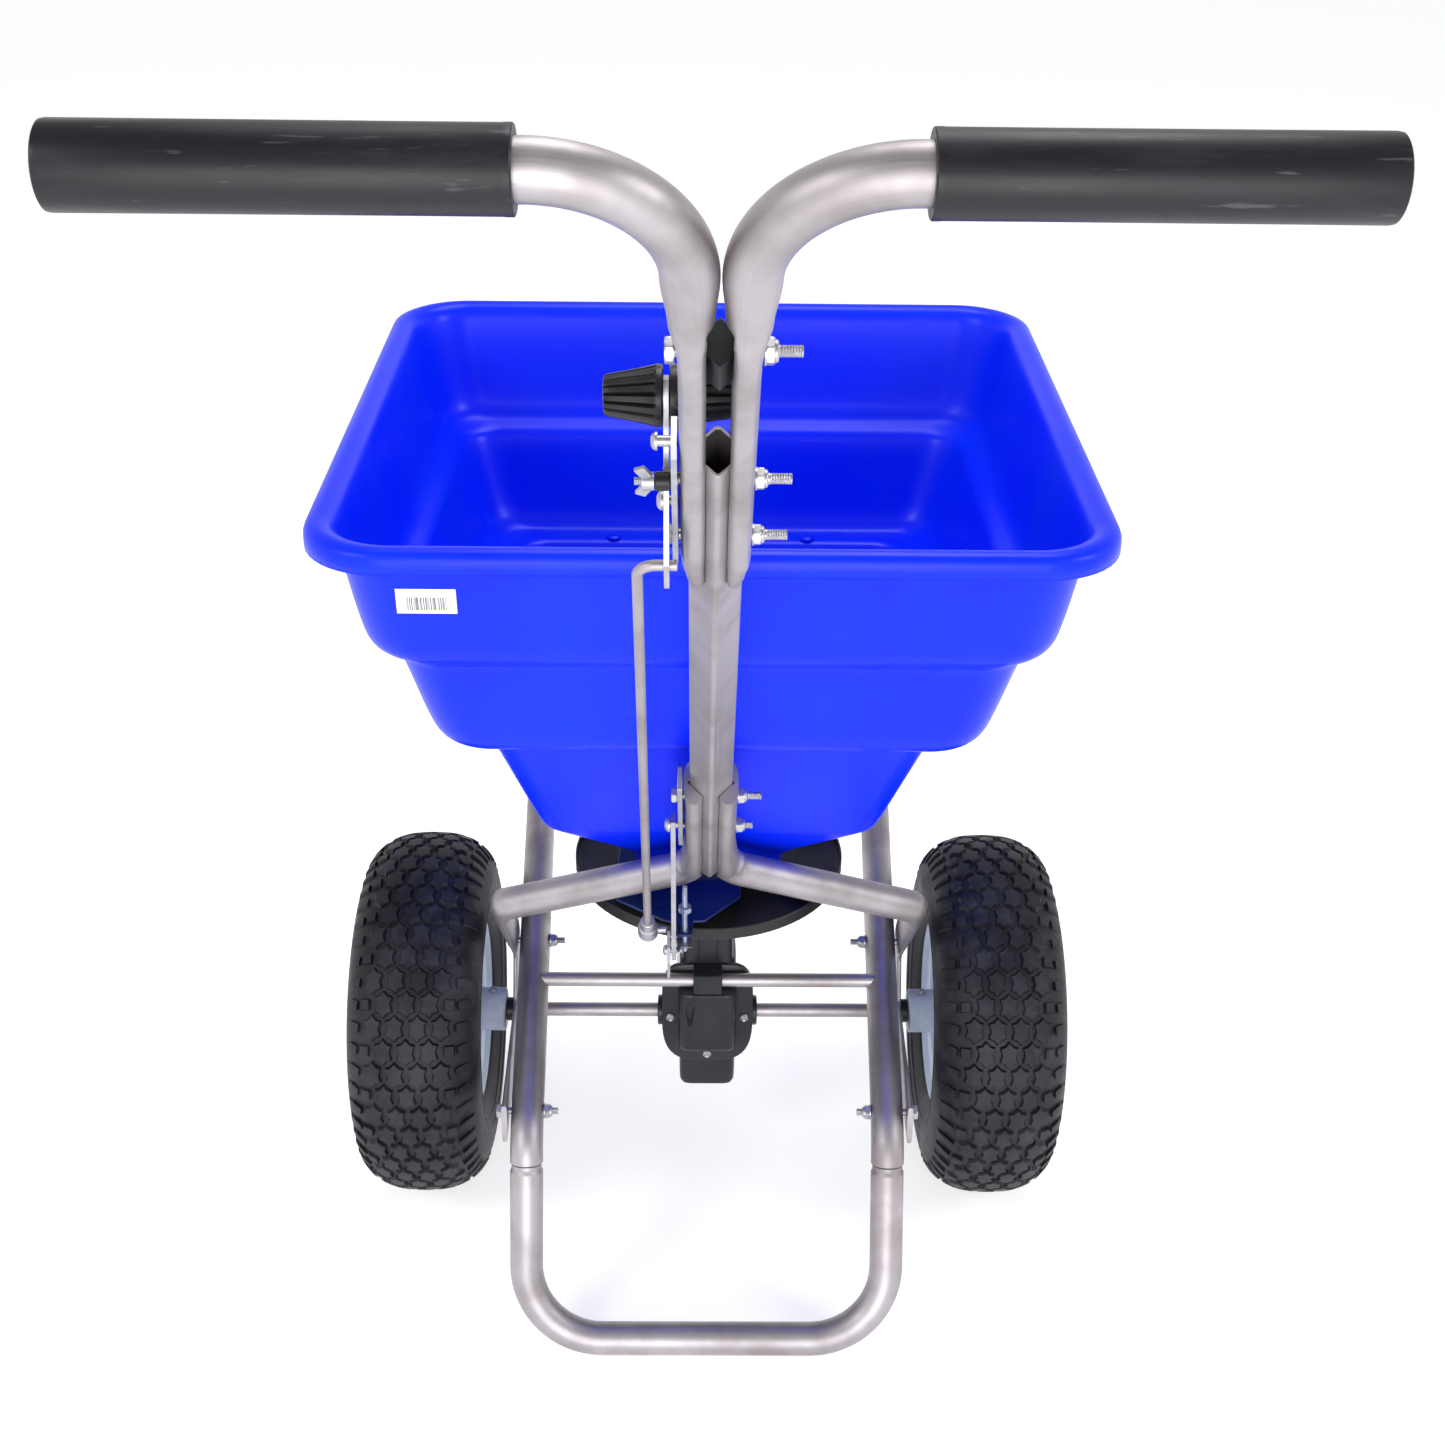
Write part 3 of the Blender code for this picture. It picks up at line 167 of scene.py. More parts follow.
def steel_finish():
    """Satin stainless tube: lengthwise brushing, soft stains and a tan cast in patches."""
    paint = Paint("satin_stainless", (0.40, 0.37, 0.38), 0.38, 0.92)
    along = paint.place((6.0, 260.0, 1.0), "UV")
    streaks = paint.noise(along, 1.0, 5.0, 0.6)
    stains = paint.noise(paint.place(), 22.0, 3.0)
    blotch = paint.spread(stains, 0.40, 0.68)
    colour = paint.mix(blotch * 0.55, (0.42, 0.39, 0.41), (0.20, 0.175, 0.165))
    colour = paint.mix(paint.spread(streaks, 0.45, 0.75) * 0.30, colour, (0.60, 0.57, 0.59))
    paint.set(Base_Color=colour, Roughness=paint.spread(streaks, 0.3, 0.7, 0.38, 0.54) + blotch * 0.06)
    paint.bump(streaks, 0.16, 0.0003)
    return paint.material


def rolled_finish(name, colour, roughness, grain=60.0):
    """Bare metal with fine rolling grain and small stains, for flat and turned pieces."""
    paint = Paint(name, colour, roughness, 0.88)
    grain_noise = paint.noise(paint.place((1.0, 1.0, 0.25)), grain * 10.0, 4.0)
    stains = paint.noise(paint.place(), grain, 3.0)
    dull = tuple(part * 0.62 for part in colour)
    mottled = paint.mix(paint.spread(stains, 0.42, 0.70) * 0.6, colour, dull)
    paint.set(Base_Color=mottled)
    paint.set(Roughness=paint.spread(grain_noise, 0.3, 0.7, roughness - 0.05, roughness + 0.09))
    paint.bump(grain_noise, 0.08, 0.0002)
    return paint.material


def grip_finish():
    """Smooth black rubber, dusty in smears, with fine scratches round it."""
    paint = Paint("grip_rubber_scuffed", (0.006, 0.006, 0.009), 0.34, Specular_IOR_Level=0.36)
    speck = paint.noise(paint.place(), 900.0, 2.0)
    smear = paint.noise(paint.place((6.0, 30.0, 30.0)), 1.0, 6.0, 0.7)
    dust = paint.spread(smear, 0.50, 0.72)
    scratch = paint.spread(paint.noise(paint.place((30.0, 240.0, 240.0)), 1.0, 2.0), 0.66, 0.72)
    colour = paint.mix(dust * 0.5, (0.005, 0.005, 0.008), (0.034, 0.034, 0.044))
    colour = paint.mix(scratch * 0.30, colour, (0.14, 0.14, 0.16))
    paint.set(Base_Color=colour, Roughness=paint.spread(smear, 0.3, 0.7, 0.30, 0.52))
    paint.bump(speck, 0.12, 0.0002)
    return paint.material


def tyre_finish():
    """Moulded tyre rubber: matt, with dust in the grooves and a fine texture."""
    paint = Paint("tyre_rubber_matt", (0.009, 0.009, 0.012), 0.50, Specular_IOR_Level=0.30)
    dust = paint.noise(paint.place(), 35.0, 5.0, 0.65)
    fine = paint.noise(paint.place(), 1400.0, 3.0)
    colour = paint.mix(paint.spread(dust, 0.46, 0.72), (0.008, 0.008, 0.011), (0.030, 0.031, 0.040))
    paint.set(Base_Color=colour, Roughness=paint.spread(dust, 0.3, 0.7, 0.42, 0.66))
    paint.bump(fine, 0.22, 0.0003)
    return paint.material


def hopper_finish():
    """Moulded blue plastic: faint orange peel, handling marks and a little sink variation."""
    paint = Paint("hopper_blue_gloss", (0.0, 0.016, 0.88), 0.36, Specular_IOR_Level=0.20)
    peel = paint.noise(paint.place(), 260.0, 3.0)
    haze = paint.noise(paint.place((1.0, 1.0, 0.4)), 7.0, 5.0, 0.6)
    marks = paint.spread(paint.noise(paint.place((14.0, 14.0, 160.0)), 1.0, 3.0), 0.70, 0.78)
    colour = paint.mix(paint.spread(haze, 0.35, 0.7), (0.0, 0.016, 0.90), (0.0, 0.026, 0.80))
    colour = paint.mix(marks * 0.10, colour, (0.08, 0.16, 0.95))
    paint.set(Base_Color=colour)
    paint.set(Roughness=paint.spread(haze, 0.3, 0.7, 0.27, 0.38) + marks * 0.12)
    paint.bump(peel, 0.05, 0.0004)
    return paint.material


def moulded_finish(name, colour, roughness, dusty=0.35, grain=1100.0):
    """Moulded plastic or painted metal with a fine grain, pale rubbed patches and dust."""
    paint = Paint(name, colour, roughness, Specular_IOR_Level=0.36)
    fine = paint.noise(paint.place(), grain, 3.0)
    rubbed = paint.noise(paint.place(), 48.0, 5.0, 0.65)
    pale = tuple(part * 1.5 + 0.012 for part in colour)
    mottled = paint.mix(paint.spread(rubbed, 0.48, 0.74) * dusty, colour, pale)
    paint.set(Base_Color=mottled)
    paint.set(Roughness=paint.spread(rubbed, 0.3, 0.7, roughness - 0.06, roughness + 0.12))
    paint.bump(fine, 0.16, 0.0002)
    return paint.material


def label_finish():
    """White paper label with a panel of upright bars."""
    paint = Paint("paper_label", (0.80, 0.80, 0.80), 0.45)
    flat = paint.node("SeparateXYZ", Vector=paint.place((1.0, 1.0, 1.0), "UV"))
    across = flat
    up = Wire(flat.tree, flat.socket.node.outputs[1])
    bars = paint.node("TexNoise", settings={"noise_dimensions": "1D"}, W=across * 60.0, Scale=1.0,
                      Detail=0.0)
    inked = (bars > 0.5) * (across > 0.16) * (0.84 - across > 0.0) * (up > 0.14) * (0.66 - up > 0.0)
    paint.set(Base_Color=paint.mix(inked, (0.80, 0.80, 0.80), (0.05, 0.05, 0.06)))
    paint.bump(paint.noise(paint.place(), 500.0), 0.05, 0.0002)
    return paint.material


STEEL = steel_finish()
ZINC = rolled_finish("zinc_plating", (0.46, 0.46, 0.49), 0.36, 90.0)
THREAD_STEEL = rolled_finish("thread_steel", (0.34, 0.37, 0.50), 0.34, 120.0)
RUBBER = grip_finish()
TYRE = tyre_finish()
BLUE = hopper_finish()
CASE = moulded_finish("gearbox_charcoal", (0.011, 0.012, 0.016), 0.36)
SPINNER = moulded_finish("spinner_dark_grey", (0.011, 0.011, 0.012), 0.42)
KNOB = moulded_finish("knob_black", (0.007, 0.007, 0.009), 0.34)
RIM_PAINT = moulded_finish("rim_light_grey", (0.50, 0.56, 0.68), 0.34, 0.5, 700.0)
# The gate plate's dark navy is painted light, not the plate's own colour: a painted reflection of the
# blue hopper plus painted shade under the hopper.
GATE_REFLECTION_AND_SHADE = moulded_finish("gate_painted_reflection_and_shade", (0.003, 0.012, 0.085), 0.30, 0.3)
LABEL = label_finish()


# Surfaces worked out on grids

def grid_faces(rows, columns, wrap_rows, wrap_columns, first=0):
    """Quads of a grid of points: each joins (row, column) to its next neighbours."""
    row = np.arange(rows if wrap_rows else rows - 1)[:, None]
    column = np.arange(columns if wrap_columns else columns - 1)[None, :]
    next_row = (row + 1) % rows
    next_column = (column + 1) % columns
    corners = (row * columns + column, next_row * columns + column,
               next_row * columns + next_column, row * columns + next_column)
    return np.stack(np.broadcast_arrays(*corners), -1).reshape(-1, 4) + first


class Solid:
    """Collects grids and flat caps into one mesh."""

    def __init__(self):
        self.points = []
        self.faces = []
        self.marks = []
        self.count = 0

    def add_points(self, points):
        points = np.asarray(points, float).reshape(-1, 3)
        first = self.count
        self.points.append(points)
        self.count += len(points)
        return first

    def add_faces(self, faces, marks=None):
        for index, face in enumerate(faces):
            self.faces.append([int(corner) for corner in face])
            self.marks.append(None if marks is None else marks[index])

    def grid(self, points, wrap_rows=False, wrap_columns=True, caps=True, lengthwise=None):
        """A grid of points; open ends of a tube get a flat cap each."""
        points = np.asarray(points, float)
        rows, columns = points.shape[:2]
        first = self.add_points(points)
        faces = grid_faces(rows, columns, wrap_rows, wrap_columns, first)
        marks = None
        if lengthwise is not None:
            marks = grid_marks(rows, columns, wrap_rows, wrap_columns, lengthwise)
        self.add_faces(faces, marks)
        if caps and wrap_columns and not wrap_rows:
            ring = np.arange(columns)
            self.add_faces([ring[::-1] + first, ring + first + (rows - 1) * columns])
        return self

    def finish(self, name, material, body, stands_for=(), slot="", sharp=35.0, weld=0.0):
        mesh = bpy.data.meshes.new(name)
        mesh.from_pydata(np.concatenate(self.points).tolist(), [], self.faces)
        if any(mark is not None for mark in self.marks):
            layer = mesh.uv_layers.new(name="UVMap")
            values = []
            for face, mark in zip(self.faces, self.marks):
                values += [(0.0, 0.0)] * len(face) if mark is None else list(mark)
            layer.data.foreach_set("uv", np.array(values, float).ravel())
        shape = bmesh.new()
        shape.from_mesh(mesh)
        if weld:
            bmesh.ops.remove_doubles(shape, verts=shape.verts, dist=weld)
        bmesh.ops.recalc_face_normals(shape, faces=shape.faces)
        shape.to_mesh(mesh)
        shape.free()
        mesh.shade_smooth()
        mesh.set_sharp_from_angle(angle=math.radians(sharp))
        return register(name, mesh, material, body, stands_for)


def grid_marks(rows, columns, wrap_rows, wrap_columns, lengthwise):
    """Texture places of a grid's quads: metres along it, and turns round it."""
    lengthwise = np.asarray(lengthwise, float)
    row = np.arange(rows if wrap_rows else rows - 1)
    column = np.arange(columns if wrap_columns else columns - 1)
    low = lengthwise[row]
    high = lengthwise[(row + 1) % rows]
    left = column / columns
    right = (column + 1) / columns
    quads = []
    for a, b in zip(low, high):
        for c, d in zip(left, right):
            quads.append(((a, c), (b, c), (b, d), (a, d)))
    return quads


def register(name, mesh, material, body, stands_for=()):
    """Link a finished piece, let it ride on its body and stand for its nodes."""
    made = bpy.data.objects.new(name, mesh)
    bpy.context.scene.collection.objects.link(made)
    mesh.materials.append(material)
    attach(made, body)
    if stands_for:
        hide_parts(*stands_for)
    return made


def unit(vectors):
    return vectors / np.linalg.norm(vectors, axis=-1, keepdims=True)


def turned_points(profile, steps, origin, axis, side=(0.0, 0.0, 1.0)):
    """Profile of (distance along the axis, radius) carried round the axis."""
    profile = np.asarray(profile, float)
    axis = unit(np.asarray(axis, float))
    first = np.asarray(side, float)
    first = unit(first - axis * first.dot(axis))
    second = np.cross(axis, first)
    angle = np.linspace(0.0, 2 * math.pi, steps, endpoint=False)
    spokes = np.cos(angle)[:, None] * first + np.sin(angle)[:, None] * second
    return (np.asarray(origin, float) + profile[:, None, 0:1] * axis
            + profile[:, None, 1:2] * spokes[None])


def rounded(profile, cut=0.2, passes=2):
    """Round a chain of points by cutting a share off both sides of each corner."""
    chain = np.asarray(profile, float)
    for _ in range(passes):
        low = chain[:-1] * (1 - cut) + chain[1:] * cut
        high = chain[:-1] * cut + chain[1:] * (1 - cut)
        middle = np.stack((low, high), 1).reshape(-1, chain.shape[1])
        chain = np.concatenate((chain[:1], middle[1:-1], chain[-1:]))
    return chain


def filleted(points, radii, steps=10):
    """Polyline with each corner rounded by an arc."""
    points = [np.asarray(point, float) for point in points]
    route = [points[0]]
    for before, corner, after, radius in zip(points, points[1:], points[2:], radii):
        back = unit(before - corner)
        ahead = unit(after - corner)
        half = math.acos(float(np.clip(back.dot(ahead), -1.0, 1.0))) / 2
        middle = corner + unit(back + ahead) * radius / math.sin(half)
        start = corner + back * radius / math.tan(half) - middle
        end = corner + ahead * radius / math.tan(half) - middle
        sweep = math.pi - 2 * half
        for share in np.linspace(0.0, 1.0, steps + 1):
            route.append(middle + (start * math.sin((1 - share) * sweep)
                                   + end * math.sin(share * sweep)) / math.sin(sweep))
    route.append(points[-1])
    return np.array(route)


def distances(route):
    """Distance along a route at each point."""
    return np.concatenate(([0.0], np.cumsum(np.linalg.norm(np.diff(route, axis=0), axis=1))))


def evenly(route, spacing):
    """A route with extra points, so that no stretch is longer than the spacing."""
    pieces = [route[:1]]
    for start, end in zip(route, route[1:]):
        count = max(1, int(math.ceil(np.linalg.norm(end - start) / spacing)))
        share = np.linspace(0.0, 1.0, count + 1)[1:, None]
        pieces.append(start * (1 - share) + end * share)
    return np.concatenate(pieces)


def runs_of(route):
    """Unit directions along a route, from each point's two neighbours."""
    ahead = np.concatenate((route[1:], route[-1:]))
    behind = np.concatenate((route[:1], route[:-1]))
    return unit(ahead - behind)


def section_points(route, wide, tall, power, sides, across_hint=None):
    """Superellipse sections across a route: cos and sin raised to 2/power, times the half sizes."""
    runs = runs_of(route)
    hint = np.array((1.0, 0.0, 0.0)) if across_hint is None else np.asarray(across_hint, float)
    across = np.empty_like(route)
    for index, run in enumerate(runs):
        if across_hint is None and index:
            hint = across[index - 1]
        across[index] = unit(hint - run * hint.dot(run))
    up = np.cross(runs, across)
    angle = np.linspace(0.0, 2 * math.pi, sides, endpoint=False)
    bend = (2.0 / np.asarray(power, float))[:, None]
    x = np.sign(np.cos(angle)) * np.abs(np.cos(angle)) ** bend * np.asarray(wide)[:, None]
    y = np.sign(np.sin(angle)) * np.abs(np.sin(angle)) ** bend * np.asarray(tall)[:, None]
    return route[:, None] + across[:, None] * x[..., None] + up[:, None] * y[..., None]


def round_tube(route, radius, sides=32, hint=None, end_round=0.0012):
    """A tube of one radius with slightly rounded ends."""
    route = np.asarray(route, float)
    size = np.full(len(route), radius)
    if end_round:
        first = route[0] + unit(route[1] - route[0]) * end_round
        last = route[-1] + unit(route[-2] - route[-1]) * end_round
        route = np.concatenate((route[:1], first[None], route[1:-1], last[None], route[-1:]))
        size = np.full(len(route), radius)
        size[[0, -1]] = radius - end_round
    solid = Solid()
    points = section_points(route, size, size, np.full(len(route), 2.0), sides, hint)
    solid.grid(points, lengthwise=distances(route))
    return solid


def on_post(x, along, ahead):
    """Point beside the post: across, up the post, and in front of it."""
    return POST_ORIGIN + POST_UP * along + POST_FRONT * ahead + np.array((x, 0.0, 0.0))


def seated(points):
    """Keep right-hand points outside the diamond of the post, which presses the V seat."""
    offset = points - POST_ORIGIN
    along = offset @ POST_UP
    ahead = np.abs(offset @ POST_FRONT)
    near = (along > -0.012) & (along < POST_SEAT_TOP)
    seat = np.where(near, np.maximum(points[..., 0], POST_CLEAR - ahead), points[..., 0])
    return np.concatenate((seat[..., None], points[..., 1:]), -1)


def mirrored(points, side):
    return points * np.array((side, 1.0, 1.0))


# Copies of plates and housings with rounded edges

def softened(node, material, body, edge=0.0004, segments=2):
    """A node's own shape, merged and given rounded edges."""
    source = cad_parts[node]
    shape = bmesh.new()
    shape.from_mesh(source.data)
    bmesh.ops.remove_doubles(shape, verts=shape.verts, dist=0.00002)
    bmesh.ops.dissolve_limit(shape, angle_limit=math.radians(1.0), verts=shape.verts,
                             edges=shape.edges)
    mesh = bpy.data.meshes.new(node + "_finished")
    shape.to_mesh(mesh)
    shape.free()
    made = register(node + "_finished", mesh, material, body, (node,))
    bevel = made.modifiers.new("edges", "BEVEL")
    bevel.width = edge
    bevel.segments = segments
    bevel.limit_method = "ANGLE"
    bevel.angle_limit = math.radians(38.0)
    bevel.harden_normals = False
    mesh.shade_smooth()
    mesh.set_sharp_from_angle(angle=math.radians(42.0))
    return made


# Hopper

HOPPER_LEVELS = (
    (0.2870, -0.2420, 0.3160, 0.062, 0.7270), (0.2870, -0.2420, 0.3160, 0.062, 0.7370),
    (0.2845, -0.2395, 0.3135, 0.060, 0.7425), (0.2780, -0.2330, 0.3070, 0.056, 0.7450),
    (0.2700, -0.2250, 0.2990, 0.050, 0.7425), (0.2640, -0.2195, 0.2930, 0.045, 0.7340),
    (0.2510, -0.2110, 0.2830, 0.042, 0.6580), (0.2450, -0.2060, 0.2770, 0.040, 0.6450),
    (0.2300, -0.1945, 0.2610, 0.036, 0.6370), (0.2270, -0.1910, 0.2570, 0.035, 0.6300),
    (0.2110, -0.1800, 0.2450, 0.034, 0.5700), (0.2050, -0.1750, 0.2400, 0.034, 0.5560),
    (0.1930, -0.1640, 0.2320, 0.030, 0.5480), (0.1740, -0.1490, 0.2110, 0.024, 0.5475),
    (0.1690, -0.1455, 0.2060, 0.022, 0.5380), (0.1385, -0.0930, 0.1480, 0.020, 0.4290),
    (0.1340, -0.0900, 0.1440, 0.020, 0.4240), (0.0620, -0.0560, 0.0780, 0.016, 0.3810),
    (0.0580, -0.0530, 0.0740, 0.015, 0.3575), (0.0400, -0.0430, 0.0500, 0.010, 0.3575))


def rectangle_rings(levels, corner_steps=12, side_steps=4):
    """One ring a level: four quarter circles of the corner radius, joined by straight sides."""
    half_x, rear, front, corner, z = (levels[:, i][:, None] for i in range(5))
    quarter = np.linspace(0.0, math.pi / 2, corner_steps + 1)
    rings = []
    for turn, x_way, y_way in ((0, 1, 1), (1, -1, 1), (2, -1, -1), (3, 1, -1)):
        angle = quarter + turn * math.pi / 2
        x = x_way * (half_x - corner) + corner * np.cos(angle)
        y = np.where(y_way > 0, front - corner, rear + corner) + corner * np.sin(angle)
        rings.append(np.stack((x, y, np.broadcast_to(z, x.shape)), -1))
    joined = []
    for here, after in zip(rings, rings[1:] + rings[:1]):
        share = np.linspace(0.0, 1.0, side_steps + 1)[1:-1][None, :, None]
        joined += [here, here[:, -1:] * (1 - share) + after[:, :1] * share]
    return np.concatenate(joined, 1)


def make_hopper():
    """Lofted rectangles down the levels, each pair of levels rounded, thickened inwards."""
    levels = rounded(np.array(HOPPER_LEVELS), 0.22, 2)
    points = rectangle_rings(levels) + CHASSIS
    solid = Solid()
    solid.grid(points, caps=False)
    ring = points.shape[1]
    solid.add_faces([np.arange(ring) + (len(points) - 1) * ring])
    made = solid.finish("hopper_finished", BLUE, "chassis", ("hopper",), "hopper_blue", 50.0)
    thick = made.modifiers.new("wall", "SOLIDIFY")
    thick.thickness = HOPPER_WALL
    thick.offset = -1.0 if made.data.polygons[-1].normal.z > 0 else 1.0
    thick.use_even_offset = False
    return made


def make_label():
    """Small paper label that lies on the outside of the rear wall just under the lip."""
    columns = np.linspace(-0.220, -0.178, 8)
    rows = np.linspace(0.7070, 0.6870, 6)
    x, z = np.meshgrid(columns, rows, indexing="ij")
    slope = (0.2195 - 0.2110) / (0.7340 - 0.6580)
    y = -(0.2110 + slope * (z - 0.6580)) - HOPPER_WALL - 0.0006
    points = np.stack((x, y, z), -1) + CHASSIS
    back = points + np.array((0.0, 0.0005, 0.0))
    solid = Solid()
    first = solid.add_points(points)
    faces = grid_faces(8, 6, False, False, first)
    u = (columns - columns[0]) / (columns[-1] - columns[0])
    v = (rows - rows[-1]) / (rows[0] - rows[-1])
    place = [[(u[i // 6], v[i % 6]) for i in face] for face in faces]
    solid.add_faces(faces, place)
    solid.finish("hopper_label", LABEL, "chassis")


# Frame, leg and handle tubes

def mirror_route(half):
    half = np.asarray(half, float)
    return np.concatenate((half, mirrored(half[::-1], -1.0)))


def make_main_frame():
    """Round section carried along the sleeves, rails and front hoop."""
    half = [(0.153, -0.195, 0.1556), (0.153, -0.1858, 0.1765), (0.168, 0.236, 0.2693),
            (0.168, 0.236, 0.5295)]
    route = filleted(mirror_route(half), (0.042, 0.055, 0.045, 0.045, 0.055, 0.042), 14)
    solid = round_tube(evenly(route, 0.03) + CHASSIS, TUBE_RADIUS, 36)
    solid.finish("main_frame_finished", STEEL, "chassis", ("main_frame",), "steel_tube")


def make_stand_leg():
    """Round section with a narrower neck under each sleeve, bent in a U along the ground."""
    lean = unit(np.array((0.0, 0.0626, 0.1416)))
    top = np.array((0.153, -0.195, 0.1556)) - lean * 0.0006
    corner = np.array((0.1535, -0.2576, TUBE_RADIUS))
    half = [top, corner]
    route = evenly(filleted(mirror_route(half), (0.065, 0.065), 16), 0.03)
    neck = [top, top - lean * 0.0038, top - lean * 0.0052, top - lean * 0.0075]
    mirrored_neck = [point * np.array((-1.0, 1.0, 1.0)) for point in reversed(neck)]
    route = np.concatenate((neck, route[1:-1], mirrored_neck)) + CHASSIS
    radius = np.full(len(route), TUBE_RADIUS)
    radius[[0, 1, -1, -2]] = TUBE_RADIUS - 0.0012
    radius[[2, -3]] = TUBE_RADIUS - 0.0003
    solid = Solid()
    solid.grid(section_points(route, radius, radius, np.full(len(route), 2.0), 36),
               lengthwise=distances(route))
    solid.finish("stand_leg_finished", STEEL, "chassis", ("stand_leg",), "steel_tube")


def interpolated(stations, spacing=0.004):
    """Sections between stations of (along, x, wide, tall, power), joined by smooth steps."""
    stations = np.asarray(stations, float)
    count = int((stations[-1, 0] - stations[0, 0]) / spacing) + 1
    along = np.linspace(stations[0, 0], stations[-1, 0], count)
    span = np.clip(np.searchsorted(stations[:, 0], along, side="right") - 1, 0, len(stations) - 2)
    share = (along - stations[span, 0]) / (stations[span + 1, 0] - stations[span, 0])
    share = share * share * (3 - 2 * share)
    rest = stations[span, 1:] * (1 - share[:, None]) + stations[span + 1, 1:] * share[:, None]
    return along, rest


def pressed_dents(points, bolts, depth=0.0011, reach=0.0075):
    """Three-cornered press marks: outer face sinks by a cone that fades with distance."""
    offset = points - POST_ORIGIN
    along = offset @ POST_UP
    ahead = offset @ POST_FRONT
    sunk = np.zeros(along.shape)
    for bolt in bolts:
        a = (along - bolt) / reach
        q = ahead / reach
        edge = np.max(np.stack((-a, 0.5 * a + 0.87 * np.abs(q))), 0)
        sunk += np.clip(1.25 - edge, 0.0, 1.0) * depth
    outer = points[..., 0] > 0.0135
    moved = points.copy()
    moved[..., 0] -= np.where(outer, sunk, 0.0)
    return moved


def make_handle_bar(side, word):
    """Pressed oval with a V seat along the post, rounding out to the tube of the handle."""
    stations = ((0.494, 0.0107, 0.0055, 0.0135, 2.6), (0.505, 0.0116, 0.0064, 0.0152, 2.6),
                (0.518, 0.0126, 0.0074, 0.0165, 2.6), (0.560, 0.0126, 0.0074, 0.0168, 2.6),
                (0.690, 0.0128, 0.0076, 0.0166, 2.6), (0.718, 0.0132, 0.0080, 0.0162, 2.6),
                (0.737, 0.0137, 0.0115, 0.0148, 2.2), (0.766, 0.0143, 0.0140, 0.0140, 2.0))
    along, rest = interpolated(stations)
    straight = POST_ORIGIN + POST_UP * along[:, None] + rest[:, :1] * np.array((1.0, 0.0, 0.0))
    centre = on_post(HANDLE_TUBE_X + HANDLE_BEND_RADIUS, HANDLE_BEND_START, 0.0)
    angle = np.radians(np.linspace(0.0, 90.0, 25)[1:])[:, None]
    bend = centre + HANDLE_BEND_RADIUS * (POST_UP * np.sin(angle)
                                          - np.array((1.0, 0.0, 0.0)) * np.cos(angle))
    tail = bend[-1] + np.array((1.0, 0.0, 0.0)) * np.linspace(0.0, 0.060, 5)[1:, None]
    route = np.concatenate((straight, bend, tail))
    extra = len(bend) + len(tail)
    wide = np.concatenate((rest[:, 1], np.full(extra, TUBE_RADIUS)))
    tall = np.concatenate((rest[:, 2], np.full(extra, TUBE_RADIUS)))
    power = np.concatenate((rest[:, 3], np.full(extra, 2.0)))
    runs = runs_of(route)
    up = POST_FRONT
    across = np.cross(up, runs)
    turn = np.linspace(0.0, 2 * math.pi, 48, endpoint=False)
    bend_power = (2.0 / power)[:, None]
    x = np.sign(np.cos(turn)) * np.abs(np.cos(turn)) ** bend_power * wide[:, None]
    y = np.sign(np.sin(turn)) * np.abs(np.sin(turn)) ** bend_power * tall[:, None]
    points = route[:, None] + across[:, None] * x[..., None] + up * y[..., None]
    points = seated(pressed_dents(points, (0.533, 0.593, 0.709)))
    solid = Solid()
    solid.grid(mirrored(points, side), lengthwise=distances(route))
    solid.finish(f"handle_bar_{word}_finished", STEEL, "chassis", (f"handle_bar_{word}",),
                 "steel_tube", 40.0)


def make_yoke(side, word):
    """Pressed on the post, bent out as a tube, then flattened to the strip that holds the axle."""
    clamp = [on_post(0.0126, s, 0.0) - CHASSIS for s in (0.165, 0.150, 0.120, 0.080, 0.045)]
    start = on_post(0.0126, 0.035, 0.0) - CHASSIS
    out = filleted([start, (0.0145, -0.1035, 0.3975), (0.1700, -0.0692, 0.3385)], [0.026], 10)
    turn = filleted([out[-1], (0.1785, -0.0600, 0.3250), (0.1785, 0.0150, 0.2420)], [0.022], 8)
    strip = filleted([(0.1785, 0.0150, 0.2420), (0.1785, 0.0370, 0.2170), (0.1785, 0.0060, 0.1560),
                      (0.1722, -0.1780, 0.1830)], [0.024, 0.024], 10)
    turn = turn[1:-1]
    route = np.concatenate((clamp, out[:-1], turn, strip))
    sections = [(0.0078, 0.0175, 2.6)] + [(0.0074, 0.0162, 2.6)] * (len(clamp) - 1)
    sections += [(0.0085, 0.0158, 2.4), (0.0100, 0.0153, 2.3), (0.0118, 0.0147, 2.15)]
    sections += [(TUBE_RADIUS, TUBE_RADIUS, 2.0)] * (len(out) - 4)
    share = np.arange(1, len(turn) + 1) / len(turn)
    sections += [(TUBE_RADIUS - 0.0060 * s, TUBE_RADIUS + 0.0020 * s, 2.0) for s in share]
    sections += [(0.0024, 0.0175, 5.0)] * len(strip)
    fine = evenly(route, 0.008)
    places = distances(route)
    at = np.clip(distances(fine), 0, places[-1])
    sections = np.array(sections)
    wide, tall, power = (np.interp(at, places, sections[:, i]) for i in range(3))
    fine = fine + CHASSIS
    runs = runs_of(fine)
    hint = np.array((1.0, 0.0, 0.0))
    across = unit(hint - runs * (runs @ hint)[:, None])
    up = np.cross(runs, across)
    angle = np.linspace(0.0, 2 * math.pi, 48, endpoint=False)
    bend = (2.0 / power)[:, None]
    x = np.sign(np.cos(angle)) * np.abs(np.cos(angle)) ** bend * wide[:, None]
    y = np.sign(np.sin(angle)) * np.abs(np.sin(angle)) ** bend * tall[:, None]
    points = fine[:, None] + across[:, None] * x[..., None] + up[:, None] * y[..., None]
    points = seated(pressed_dents(points, (0.079, 0.140)))
    solid = Solid()
    solid.grid(mirrored(points, side), lengthwise=distances(fine))
    solid.finish(f"yoke_{word}_finished", STEEL, "chassis", (f"yoke_{word}",), "steel_tube", 40.0)


